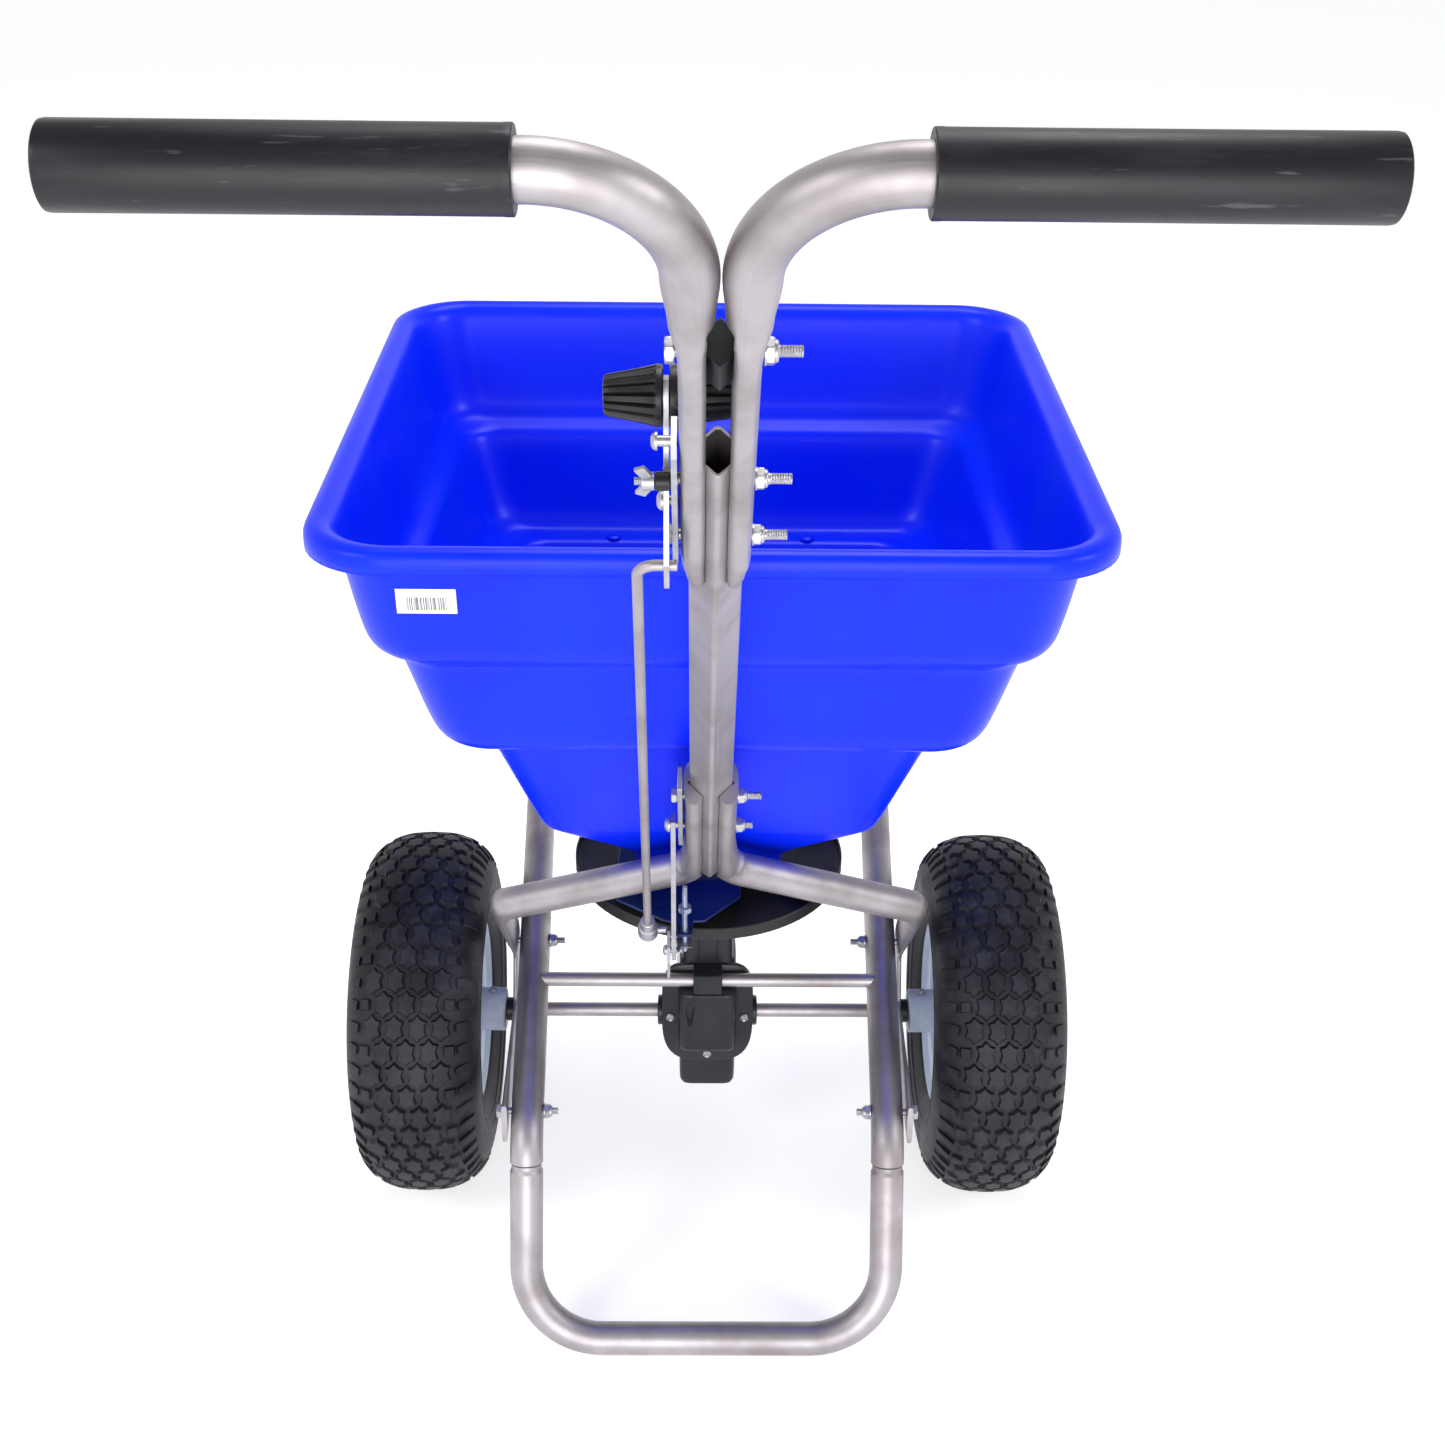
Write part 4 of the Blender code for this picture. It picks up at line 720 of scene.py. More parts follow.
def make_grip(side, word):
    """Sleeve turned about the bar's end, cut square at its inner end."""
    middle = on_post(0.0, HANDLE_BEND_START + HANDLE_BEND_RADIUS, 0.0)
    near = 0.087
    far = 0.283
    radius = 0.0192
    profile = [(near + 0.0002, 0.0143), (near, 0.0165), (near + 0.0001, 0.0187),
               (near + 0.0007, radius), (near + 0.0040, radius), (near + 0.0048, 0.01905),
               (0.130, 0.0190), (0.180, 0.01905), (0.240, 0.0191), (far - 0.0030, radius),
               (far - 0.0008, 0.0188), (far - 0.0001, 0.0178), (far, 0.0150), (far, 0.004)]
    solid = Solid()
    solid.grid(turned_points(profile, 56, middle, (side, 0.0, 0.0)))
    solid.finish(f"grip_{word}_finished", RUBBER, "chassis", (f"grip_{word}",), "grip_rubber")


def rod_between(name, node, body, start, end, radius, material, slot, sides=40, edge=0.0008):
    """Turned bar with a chamfer at both ends."""
    start = np.asarray(start, float)
    end = np.asarray(end, float)
    length = float(np.linalg.norm(end - start))
    profile = [(0.0, radius * 0.3), (0.0, radius - edge), (edge, radius), (length / 3, radius),
               (length * 2 / 3, radius), (length - edge, radius), (length, radius - edge),
               (length, radius * 0.3)]
    solid = Solid()
    solid.grid(turned_points(profile, sides, start, end - start), lengthwise=[p[0] for p in profile])
    return solid.finish(name, material, body, (node,), slot, 30.0)


# Bolts and nuts

def hexagon(steps_each=8):
    """Distance from the centre to a hexagon's side, of half width across flats 1, by angle."""
    angle = np.linspace(0.0, 2 * math.pi, 6 * steps_each, endpoint=False)
    return angle, 1.0 / np.cos((angle + math.pi / 6) % (math.pi / 3) - math.pi / 6)


def hex_block(solid, origin, axis, thick, corner, dome=0.0, side=(0.0, 1.0, 0.0)):
    """Hexagon whose corners are cut by a cone at both faces; a dome stands on the outer face."""
    angle, reach = hexagon()
    flats = corner * math.cos(math.pi / 6)
    outline = flats * reach
    cone = flats * 1.02
    rings = []
    for height, limit in ((0.0, flats * 0.72), (0.0, cone), (0.10, flats * 1.10), (0.18, corner),
                          (0.82, corner), (0.90, flats * 1.10), (1.0, cone), (1.0, flats * 0.80)):
        rings.append((height * thick, np.minimum(outline, limit)))
    if dome:
        for rise, share in ((0.10, 0.90), (0.55, 0.88), (0.90, 0.78), (1.0, 0.62), (1.0, 0.36)):
            rings.append((thick + dome * rise, np.full(len(angle), flats * share)))
    axis = unit(np.asarray(axis, float))
    first = np.asarray(side, float)
    first = unit(first - axis * first.dot(axis))
    second = np.cross(axis, first)
    spokes = np.cos(angle)[:, None] * first + np.sin(angle)[:, None] * second
    points = np.stack([np.asarray(origin) + axis * height + spokes * radius[:, None]
                       for height, radius in rings])
    solid.grid(points)


def thread(solid, origin, axis, length, radius, pitch, depth, sides=18):
    """Screw thread: radius less depth times a triangle wave of distance over pitch plus turn."""
    steps = max(8, int(length / pitch * 6))
    along = np.linspace(0.0, length, steps)
    angle = np.linspace(0.0, 2 * math.pi, sides, endpoint=False)
    wave = np.abs(((along[:, None] / pitch + angle[None] / (2 * math.pi)) % 1.0) * 2 - 1)
    fade = np.minimum(1.0, np.minimum(along, length - along)[:, None] / (pitch * 0.8))
    size = radius - depth * wave * fade
    size[0] = size[-1] = radius - depth
    axis = unit(np.asarray(axis, float))
    first = np.array((0.0, 0.0, 1.0)) if abs(axis[2]) < 0.8 else np.array((1.0, 0.0, 0.0))
    first = unit(first - axis * first.dot(axis))
    second = np.cross(axis, first)
    spokes = np.cos(angle)[:, None] * first + np.sin(angle)[:, None] * second
    points = np.asarray(origin) + along[:, None, None] * axis + spokes[None] * size[..., None]
    solid.grid(points)


def make_bolt(node, head, tail, spot, nut=None, size=0.0062, radius=0.0031, round_head=False,
              thread_length=0.012, body="chassis"):
    """A bolt along X from under its head to its tail; head and nut are chamfered hexagons."""
    way = math.copysign(1.0, tail - head)
    thick = 0.7 * size
    axis = np.array((way, 0.0, 0.0))
    spot = np.asarray(spot, float)
    solid = Solid()
    under = np.array((head, spot[1], spot[2]))
    if round_head:
        profile = [(0.0, size * 0.5), (0.0, size), (-0.35 * thick, size), (-0.75 * thick, size * 0.80),
                   (-thick, size * 0.45), (-thick, size * 0.15)]
        solid.grid(turned_points(profile, 32, under, axis))
    else:
        hex_block(solid, under, -axis, thick, size)
    length = abs(tail - head)
    cut = max(0.001, length - thread_length)
    shank = [(-0.2 * thick, radius * 0.8), (-0.2 * thick, radius), (cut, radius),
             (cut + 0.0003, radius * 0.9)]
    solid.grid(turned_points(shank, 24, under, axis))
    thread(solid, under + axis * cut, axis, length - cut, radius, 0.0014, 0.0005)
    if nut is not None:
        base = np.array((nut, spot[1], spot[2]))
        hex_block(solid, base, axis, 0.0047, size * 1.03, 0.0019)
        washer = [(-0.0003, size * 0.6), (-0.0003, size * 1.02), (0.0006, size * 1.02),
                  (0.0006, size * 0.6)]
        solid.grid(turned_points(washer, 32, base, axis))
    return solid.finish(f"{node}_finished", ZINC, body, (node,), "zinc", 30.0)


def post_spot(along, ahead=0.0):
    return on_post(0.0, along, ahead)


def make_fasteners():
    """Through bolts on the post, the frame bolts and the two hopper bolts."""
    make_bolt("handle_bolt_1", -0.0248, 0.0400, post_spot(0.533), 0.0206)
    make_bolt("handle_bolt_2", -0.0248, 0.0400, post_spot(0.593), 0.0206)
    make_bolt("handle_bolt_3", -0.0217, 0.0400, post_spot(0.709), 0.0217, 0.0070)
    make_bolt("yoke_bolt_1", -0.0314, 0.0330, post_spot(0.079), 0.0206, round_head=True)
    make_bolt("yoke_bolt_2", -0.0252, 0.0380, post_spot(0.140), 0.0206)
    for side, word in ((-1.0, "left"), (1.0, "right")):
        front = np.array((0.0, 0.028, 0.2236)) + CHASSIS
        rear = np.array((0.0, -0.160, 0.1822)) + CHASSIS
        make_bolt(f"frame_bolt_front_{word}", side * 0.1814, side * 0.1330, front, side * 0.1462)
        make_bolt(f"frame_bolt_rear_{word}", side * 0.1758, side * 0.1280, rear, side * 0.1395)
        make_hopper_bolt(side, word)
    make_bolt("limit_pin", -0.0315, -0.0208, post_spot(0.626, 0.002), None, 0.0050, 0.0030, True,
              0.002)
    make_bolt("lever_pivot_bolt", -0.0293, -0.0208, post_spot(0.561, 0.005), None, 0.0055, 0.0030,
              True, 0.002)
    crank = np.array((0.0, -0.135, 0.335)) + CHASSIS
    make_bolt("crank_pin", -0.0348, -0.0215, crank, None, 0.0045, 0.0025, True, 0.002)


def make_hopper_bolt(side, word):
    """Pan-head bolt down through the hopper's seat and the hoop."""
    place = np.array((side * 0.090, 0.2180, 0.5475)) + CHASSIS
    solid = Solid()
    head = [(0.0008, 0.004), (0.0008, 0.0068), (0.0020, 0.0066), (0.0031, 0.0052),
            (0.0036, 0.0032), (0.0030, 0.0010)]
    solid.grid(turned_points(head, 32, place, (0.0, 0.0, 1.0), (1.0, 0.0, 0.0)))
    solid.grid(turned_points([(0.0012, 0.0031), (-0.022, 0.0031), (-0.0222, 0.0028)], 20, place,
                             (0.0, 0.0, 1.0), (1.0, 0.0, 0.0)))
    thread(solid, place - np.array((0.0, 0.0, 0.022)), (0.0, 0.0, -1.0), 0.018, 0.0031, 0.001,
           0.0003)
    solid.finish(f"hopper_bolt_{word}_finished", BLUE, "chassis", (f"hopper_bolt_{word}",), "zinc",
                 30.0)


# Wheels and tyres

def wheel_points(profile, steps, side):
    """Profile of (radius, distance out along the axle) turned about the axle."""
    swapped = [(out, radius) for radius, out in profile]
    return turned_points(swapped, steps, AXLE, (side, 0.0, 0.0))


def make_wheel(side, word):
    """Pressed disc and deep rim with rolled lips, and the long hub it is welded to."""
    middle = TYRE_CENTRE_X
    bead = 0.073
    outline = [(HUB_RADIUS, 0.2950), (HUB_RADIUS, middle + 0.006), (0.024, middle + 0.0010),
               (0.040, middle - 0.0010), (0.053, middle - 0.0030), (0.056, middle + 0.002),
               (0.060, middle + 0.036), (0.064, middle + 0.0405), (0.079, middle + 0.042),
               (0.0815, middle + 0.0468), (0.0840, middle + 0.0465), (0.0848, middle + 0.044),
               (bead + 0.006, middle + 0.0385), (bead, middle + 0.034), (0.064, middle + 0.026),
               (0.064, middle - 0.026), (bead, middle - 0.034), (bead + 0.006, middle - 0.0385),
               (0.0848, middle - 0.044), (0.0840, middle - 0.0465), (0.0815, middle - 0.0468),
               (0.079, middle - 0.042), (0.064, middle - 0.0405), (0.060, middle - 0.036),
               (0.0585, middle - 0.012), (0.055, middle - 0.0075), (0.034, middle - 0.0045),
               (0.024, middle - 0.0055), (HUB_RADIUS + 0.0006, middle - 0.0095),
               (HUB_RADIUS, middle - 0.013), (HUB_RADIUS, HUB_INNER_X + 0.0015),
               (HUB_RADIUS - 0.0008, HUB_INNER_X + 0.0004), (HUB_RADIUS - 0.002, HUB_INNER_X),
               (AXLE_BORE, HUB_INNER_X), (AXLE_BORE, 0.2960), (HUB_RADIUS - 0.001, 0.2960)]
    solid = Solid()
    points = wheel_points(outline, 96, side)
    solid.grid(points, wrap_rows=True)
    solid.finish(f"wheel_{word}_finished", RIM_PAINT, "wheels", (f"wheel_{word}",), "wheel_paint", 32.0)
    pin_x = HUB_INNER_X + 0.012
    pin = Solid()
    foot = AXLE + np.array((side * pin_x, 0.0, -0.0225))
    shank = [(0.0, 0.0006), (0.0, 0.0015), (0.0008, 0.0020), (0.0432, 0.0020), (0.0432, 0.0034),
             (0.0458, 0.0034), (0.0470, 0.0024), (0.0470, 0.0006)]
    pin.grid(turned_points(shank, 20, foot, (0.0, 0.0, 1.0), (1.0, 0.0, 0.0)))
    pin.finish(f"hub_pin_{word}_finished", ZINC, "wheels", (f"hub_pin_{word}",), "zinc", 30.0)


TREAD_ROWS = 50
CROWN_RADIUS = 0.1250
CROWN_RISE = 0.0362
CROWN_HALF = 0.0566


def carcass(across):
    """Radius of the casing: crown radius plus rise times a superellipse of distance across."""
    share = np.clip(np.abs(across) / CROWN_HALF, 0.0, 1.0)
    return CROWN_RADIUS + CROWN_RISE * (1 - share ** 2.6) ** 0.56


def tread_blocks(outline, inset, lift_top, lift_foot):
    """A block from a flat outline of (round the tyre, across): foot, top edge and crown."""
    outline = np.asarray(outline, float)
    middle = outline.mean(0)
    inner = middle + (outline - middle) * inset
    return ((outline, lift_foot), (inner, lift_top), (middle + (inner - middle) * 0.5, lift_top))


def make_tyre(side, word):
    """Casing with staggered six-pointed studs, square side blocks and slanted shoulder bars."""
    middle = TYRE_CENTRE_X
    angle = np.radians(np.linspace(90.0, 6.0, 20))
    half = [(carcass(CROWN_HALF * math.cos(a)), CROWN_HALF * math.cos(a)) for a in angle]
    wall = [(0.1210, 0.05745), (0.1170, 0.0575), (0.1110, 0.05725), (0.1105, 0.0578), (0.1095, 0.0578),
            (0.1090, 0.0568), (0.1030, 0.0550), (0.1025, 0.0557), (0.1015, 0.0555), (0.1010, 0.0543),
            (0.0945, 0.0511), (0.0900, 0.0480), (0.0893, 0.0484), (0.0885, 0.0478), (0.0875, 0.0462),
            (0.0800, 0.0392), (0.0765, 0.0350), (0.0735, 0.0332), (0.0733, 0.0265)]
    top = [(radius, -across) for radius, across in reversed(half)]
    full = [(r, -a) for r, a in reversed(wall)] + top + half[1:] + wall
    inner = [(0.078, 0.030), (0.110, 0.049), (0.146, 0.038), (0.155, 0.0), (0.146, -0.038),
             (0.110, -0.049), (0.078, -0.030)]
    outline = [(radius, middle + across) for radius, across in full + inner]
    solid = Solid()
    solid.grid(wheel_points(outline, 144, side), wrap_rows=True)
    shapes = []
    star = np.array(((0.0, 0.0132), (0.0040, 0.0086), (0.0086, 0.0072), (0.0066, 0.0),
                     (0.0086, -0.0072), (0.0040, -0.0086), (0.0, -0.0132), (-0.0040, -0.0086),
                     (-0.0086, -0.0072), (-0.0066, 0.0), (-0.0086, 0.0072), (-0.0040, 0.0086)))
    diamond = star[:, ::-1]
    pitch = 2 * math.pi / TREAD_ROWS
    for row in range(TREAD_ROWS):
        start = row * pitch
        lateral = (-0.0195, 0.0, 0.0195) if row % 2 else (-0.0292, -0.0098, 0.0098, 0.0292)
        for across in lateral:
            shapes.append((start, diamond + (0.0, across), 0.80, 0.0034))
        for hand in (-1.0, 1.0):
            if row % 2:
                block = np.array(((-0.0052, -0.0046), (0.0052, -0.0046), (0.0052, 0.0046),
                                  (-0.0052, 0.0046)))
                shapes.append((start, block + (0.0, hand * 0.0362), 0.80, 0.0034))
            inner = 0.0432 if row % 2 else 0.0415
            bar = np.array(((-0.0048, inner), (0.0036, inner - 0.001), (0.0060, 0.0490),
                            (0.0040, 0.0540), (-0.0010, 0.0540), (-0.0034, 0.0490)))
            shapes.append((start, bar * (1.0, hand), 0.86, 0.0036))
    for start, flat, inset, height in shapes:
        add_tread(solid, start, flat, inset, height, side)
    made = solid.finish(f"tyre_{word}_finished", TYRE, "wheels", (f"tyre_{word}",), "tyre", 30.0)
    return made


def add_tread(solid, start, flat, inset, height, side):
    """Stand one block on the casing: each outline point turns about the axle at its radius."""
    rings = []
    for outline, lift in tread_blocks(flat, inset, height, -0.0010):
        radius = carcass(outline[:, 1]) + lift
        turn = start + outline[:, 0] / 0.1625
        x = side * (TYRE_CENTRE_X + outline[:, 1])
        rings.append(np.stack((x, radius * np.sin(turn), radius * np.cos(turn)), -1) + AXLE)
    solid.grid(np.stack(rings))


# Gearbox and spinner

def make_spinner():
    """Dish turned about the shaft with a thick rim, six fins and a hub; the shaft and agitator."""
    top = 0.344
    low = top - 0.012
    radius = 0.118
    outline = [(top - 0.0010, 0.0052), (top - 0.0010, 0.0110), (top - 0.0025, 0.0122),
               (low + 0.0045, 0.0126), (low + 0.0032, 0.0150), (low + 0.0034, 0.0700),
               (low + 0.0045, 0.1130), (low + 0.0060, 0.1155), (top - 0.0008, 0.1157),
               (top, 0.1163), (top, radius - 0.0006), (top - 0.0008, radius), (low + 0.0014, radius),
               (low + 0.0002, radius - 0.0012), (low, radius - 0.0040), (low + 0.0006, 0.0900),
               (low, 0.0700), (low, 0.0185), (low - 0.0012, 0.0165), (0.3215, 0.0150),
               (0.3215, 0.0052)]
    middle = np.array((AXLE[0], AXLE[1], 0.0))
    solid = Solid()
    solid.grid(turned_points(outline, 96, middle, (0.0, 0.0, 1.0), (1.0, 0.0, 0.0)), wrap_rows=True)
    run = np.linspace(0.0, 1.0, 14)
    for index in range(6):
        turn = 2 * math.pi * (index + 0.35) / 6
        out = np.array((math.cos(turn), math.sin(turn), 0.0))
        across = np.array((-out[1], out[0], 0.0))
        distance = 0.0115 + run * (0.1160 - 0.0115)
        height = top - 0.0014 - 0.0022 * np.sin(run * math.pi) ** 2
        rings = []
        for reach, high in zip(distance, height):
            foot = middle + out * reach
            rings.append([foot + across * w + np.array((0.0, 0.0, z)) for w, z in
                          ((-0.0016, low + 0.002), (0.0016, low + 0.002), (0.0012, high - 0.0005),
                           (0.0007, high), (-0.0007, high), (-0.0012, high - 0.0005))])
        solid.grid(rings)
    solid.finish("impeller_finished", SPINNER, "spinner", ("impeller",), "black_plastic", 32.0)
    rod_between("impeller_shaft_finished", "impeller_shaft", "spinner",
                middle + (0, 0, 0.1790), middle + (0, 0, 0.3950), 0.0048, ZINC, "steel_tube", 32)
    bar = filleted([(-0.034, 0.0, 0.3790), (-0.026, 0.0, 0.387), (0.026, 0.0, 0.387),
                    (0.034, 0.0, 0.3790)], [0.005, 0.005], 8) + CHASSIS
    round_tube(bar, 0.0020, 20, (0.0, 1.0, 0.0), 0.0004).finish(
        "agitator_finished", ZINC, "spinner", ("agitator",), "zinc")


def make_gearbox():
    """Housing: column and tab as a rounded-square section up the shaft; one rounded flange, a boss
    round the axle and two ribs.
    """
    stations = np.array(((0.0850, 0.0150, 0.60), (0.0853, 0.0205, 0.86), (0.0868, 0.0240, 0.96),
                         (0.0900, 0.0257, 1.0), (0.1000, 0.0260, 1.0), (0.2250, 0.0260, 1.0),
                         (0.2290, 0.0256, 1.0), (0.2320, 0.0232, 0.98), (0.2900, 0.0226, 0.95),
                         (0.3160, 0.0222, 0.94), (0.3176, 0.0212, 0.90), (0.3180, 0.0180, 0.80)))
    angle = np.linspace(0.0, 2 * math.pi, 64, endpoint=False)
    bend = 2.0 / 7.0
    x = np.sign(np.cos(angle)) * np.abs(np.cos(angle)) ** bend * stations[:, 1:2]
    y = np.sign(np.sin(angle)) * np.abs(np.sin(angle)) ** bend * 0.023 * stations[:, 2:3] + 0.009
    solid = Solid()
    solid.grid(np.stack((x, y, np.broadcast_to(stations[:, :1], x.shape)), -1) + CHASSIS)
    solid.grid(flange_points(-0.0140, -0.0110))
    boss = AXLE * (0.0, 1.0, 1.0)
    profile = [(-0.046, 0.0068), (-0.046, 0.0128), (-0.0452, 0.0138), (0.0452, 0.0138),
               (0.046, 0.0128), (0.046, 0.0068)]
    solid.grid(turned_points(profile, 48, boss, (1.0, 0.0, 0.0)))
    for rib in (-0.0085, 0.0085):
        rings = [[(rib + w, d, z) for w, d in ((-0.0010, -0.0125), (-0.0006, -0.0152),
                                               (0.0006, -0.0152), (0.0010, -0.0125))]
                 for z in (0.2310, 0.2320, 0.3120, 0.3160)]
        solid.grid(np.array(rings) + CHASSIS)
    solid.finish("gearbox_housing_finished", CASE, "chassis", ("gearbox_housing",),
                 "black_plastic", 32.0)


def flange_points(back, front):
    """Outline with a wide round bottom and shoulders, stacked through the plate's thickness."""
    angle = np.linspace(0.0, 2 * math.pi, 72, endpoint=False)
    power = np.where(np.sin(angle) < 0.0, 2.0 / 3.2, 2.0 / 4.6)
    x = np.sign(np.cos(angle)) * np.abs(np.cos(angle)) ** power * 0.042
    z = np.sign(np.sin(angle)) * np.abs(np.sin(angle)) ** power * 0.056 + 0.174
    rings = []
    for y, grow in ((back + 0.0002, 0.10), (back, 0.985), (back + 0.0005, 1.0),
                    (front - 0.0004, 1.0), (front, 0.985), (front, 0.10)):
        rings.append(np.stack((x * grow, np.full(len(x), y), 0.174 + (z - 0.174) * grow), -1))
    return np.array(rings) + CHASSIS


def make_gearbox_cover():
    """Cover: rounded flange, a raised panel with a teardrop hollow, and the clip on the brace."""
    solid = Solid()
    solid.grid(flange_points(-0.0173, -0.0143))
    u = np.linspace(-1.0, 1.0, 49)[None, :]
    v = np.linspace(0.0, 1.0, 57)[:, None]
    x = 0.0268 * u * (1.0 - 0.03 * (1 - v))
    z = 0.1350 + 0.0760 * v + 0.0 * u
    rise = 0.0187 * np.clip(1.0 - np.abs(u) ** 14, 0.0, 1.0) ** 0.5
    foot = np.clip(v / 0.16, 0.0, 1.0)
    head = np.clip((1.0 - v) / 0.05, 0.0, 1.0)
    rise = rise * np.sin(foot * math.pi / 2) ** 0.8 * np.sin(head * math.pi / 2) ** 0.5
    rise = rise * (1.0 - 0.10 * u ** 2)
    drop = np.clip((0.2010 - z) / 0.0300, 0.0, 1.0)
    width = 0.0052 * np.sqrt(np.clip(drop * 5.0, 0.0, 1.0)) * (1.0 - drop) ** 0.75
    hollow = np.clip(1.0 - ((x + 0.0160) / np.maximum(width, 0.0004)) ** 2, 0.0, 1.0) ** 0.5
    inside = (z < 0.2010) & (z > 0.1710)
    rise = rise - np.where(inside, 0.0026 * hollow, 0.0)
    front = np.stack((x, -0.0172 - rise, z), -1)
    back = np.stack((x, np.full(x.shape, -0.0160), z), -1)
    solid.grid(np.stack((front, back))[0] + CHASSIS, wrap_columns=False, caps=False)
    clip = np.array(((-0.0158, 0.2085), (-0.0330, 0.2085), (-0.0340, 0.2095), (-0.0340, 0.2290),
                     (-0.0330, 0.2300), (-0.0170, 0.2300), (-0.0158, 0.2288)))
    rings = []
    for x_at, grow in ((-0.0130, 0.94), (-0.0124, 1.0), (0.0124, 1.0), (0.0130, 0.94)):
        middle = clip.mean(0)
        shape = middle + (clip - middle) * grow
        rings.append(np.column_stack((np.full(len(clip), x_at), shape)))
    solid.grid(np.array(rings) + CHASSIS)
    solid.finish("gearbox_cover_finished", CASE, "chassis", ("gearbox_cover",), "black_plastic",
                 34.0)


def make_cover_screws():
    """Pan heads with a cross slot pressed in each."""
    for index, (x, z) in enumerate(((-0.034, 0.170), (0.034, 0.170), (0.0, 0.127))):
        node = f"cover_screw_{index + 1}"
        low, high = (np.array(corner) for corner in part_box(node))
        centre = (low + high) / 2
        centre[1] = high[1]
        thick = high[1] - low[1]
        reach = (high[0] - low[0]) / 2
        profile = [(0.0, reach * 0.6), (0.0, reach), (0.35 * thick, reach * 0.98),
                   (0.72 * thick, reach * 0.82), (0.95 * thick, reach * 0.5), (thick, reach * 0.2)]
        points = turned_points(profile, 32, centre, (0.0, -1.0, 0.0))
        offset = points - centre
        slot = np.minimum(np.abs(offset[..., 0]), np.abs(offset[..., 2])) < reach * 0.16
        near = np.maximum(np.abs(offset[..., 0]), np.abs(offset[..., 2])) < reach * 0.62
        points[..., 1] += np.where(slot & near, thick * 0.5, 0.0)
        solid = Solid()
        solid.grid(points)
        solid.finish(f"{node}_finished", ZINC, "chassis", (node,), "zinc", 30.0)


# Lever, knob and linkage

def make_knob():
    """Two fluted cones on a stud: radius less a small cosine of eighteen flutes round it."""
    spot = post_spot(0.614, 0.038)
    solid = Solid()
    angle = np.linspace(0.0, 2 * math.pi, 144, endpoint=False)
    for start, end in ((-0.0293, -0.0610), (-0.0257, 0.0150)):
        way = math.copysign(1.0, end - start)
        length = abs(end - start)
        share = np.array((0.0, 0.0, 0.015, 0.10, 0.14, 0.35, 0.65, 0.88, 0.95, 0.985, 1.0, 1.0, 0.97,
                          0.97))
        size = np.array((0.006, 0.0158, 0.0165, 0.0168, 0.01635, 0.0148, 0.0129, 0.0116, 0.0110,
                         0.0102, 0.0090, 0.0066, 0.0052, 0.0015))
        depth = np.array((0.0, 0.0, 0.0, 0.0, 0.0020, 0.0022, 0.0021, 0.0018, 0.0014, 0.0008, 0.0, 0.0,
                          0.0, 0.0))
        ripple = np.clip(1.7 * np.abs(np.sin(angle * 8.0)), 0.0, 1.0)
        radius = size[:, None] - depth[:, None] * (1 - ripple[None])
        x = start + way * share * length
        points = np.stack((np.broadcast_to(x[:, None], radius.shape),
                           spot[1] + radius * np.cos(angle), spot[2] + radius * np.sin(angle)), -1)
        solid.grid(points)
    solid.grid(turned_points([(0.0, 0.0029), (0.015, 0.0029)], 20, (-0.0350, spot[1], spot[2]),
                             (1.0, 0.0, 0.0)))
    solid.finish("control_knob_finished", KNOB, "lever", ("control_knob",), "black_plastic", 28.0)


def make_rod_and_ferrule():
    """Long rod hooked through the lever, and the eye that holds its foot on the crank."""
    top = on_post(-0.044, 0.540, -0.024)
    hook = on_post(-0.0215, 0.540, -0.024)
    foot = np.array((-0.0505, -0.127, 0.3500)) + CHASSIS
    route = evenly(filleted([hook, top, foot], [0.011], 14), 0.03)
    round_tube(route, ROD_RADIUS, 28, (0.0, 1.0, 0.3), 0.0005).finish(
        "control_rod_finished", STEEL, "rod", ("control_rod",), "zinc")
    run = unit(top - foot)
    start = foot - run * 0.0080
    outline = [(0.0, 0.0030), (0.0, 0.0072), (0.0010, 0.0082), (0.0022, 0.0085), (0.0125, 0.0085),
               (0.0150, 0.0080), (0.0170, 0.0066), (0.0262, 0.0062), (0.0276, 0.0056),
               (0.0280, 0.0050), (0.0280, 0.0036)]
    solid = Solid()
    solid.grid(turned_points(outline, 40, start, run))
    solid.grid(turned_points([(0.0, 0.0028), (0.0146, 0.0028), (0.0154, 0.0021)], 24, foot,
                             (1.0, 0.0, 0.0)))
    solid.finish("rod_ferrule_finished", ZINC, "rod", ("rod_ferrule",), "zinc", 30.0)


def make_adjusting_screw():
    """Upright threaded screw with a nut and a small light cap on its top."""
    place = np.array((-0.020, -0.127, 0.0)) + CHASSIS
    up = np.array((0.0, 0.0, 1.0))
    solid = Solid()
    thread(solid, place + up * 0.329, up, 0.062, 0.0023, 0.0011, 0.00035, 20)
    solid.grid(turned_points([(0.0, 0.0016), (0.0, 0.0021), (0.0028, 0.0021), (0.0034, 0.0014)], 24,
                             place + up * 0.3906, up, (1.0, 0.0, 0.0)))
    hex_block(solid, place + up * 0.3690, up, 0.0045, 0.0060, 0.0, (1.0, 0.0, 0.0))
    solid.finish("adjusting_screw_finished", THREAD_STEEL, "crank", ("adjusting_screw",), "zinc", 28.0)


def make_rate_stop():
    """Threaded stop bolt and its spacer."""
    spot = post_spot(0.6012, -0.0072)
    solid = Solid()
    thread(solid, (-0.0440, spot[1], spot[2]), (1.0, 0.0, 0.0), 0.0236, 0.0022, 0.0009, 0.0003, 20)
    solid.finish("stop_bolt_finished", ZINC, "rate_stop", ("stop_bolt",), "zinc", 28.0)
    ring = Solid()
    profile = [(0.0, 0.0025), (0.0, 0.0048), (0.0005, 0.0052), (0.0076, 0.0052), (0.0081, 0.0048),
               (0.0081, 0.0025)]
    ring.grid(turned_points(profile, 32, (-0.0330, spot[1], spot[2]), (1.0, 0.0, 0.0)),
              wrap_rows=True)
    ring.finish("stop_spacer_finished", KNOB, "rate_stop", ("stop_spacer",), "black_plastic", 30.0)


# Post and plates

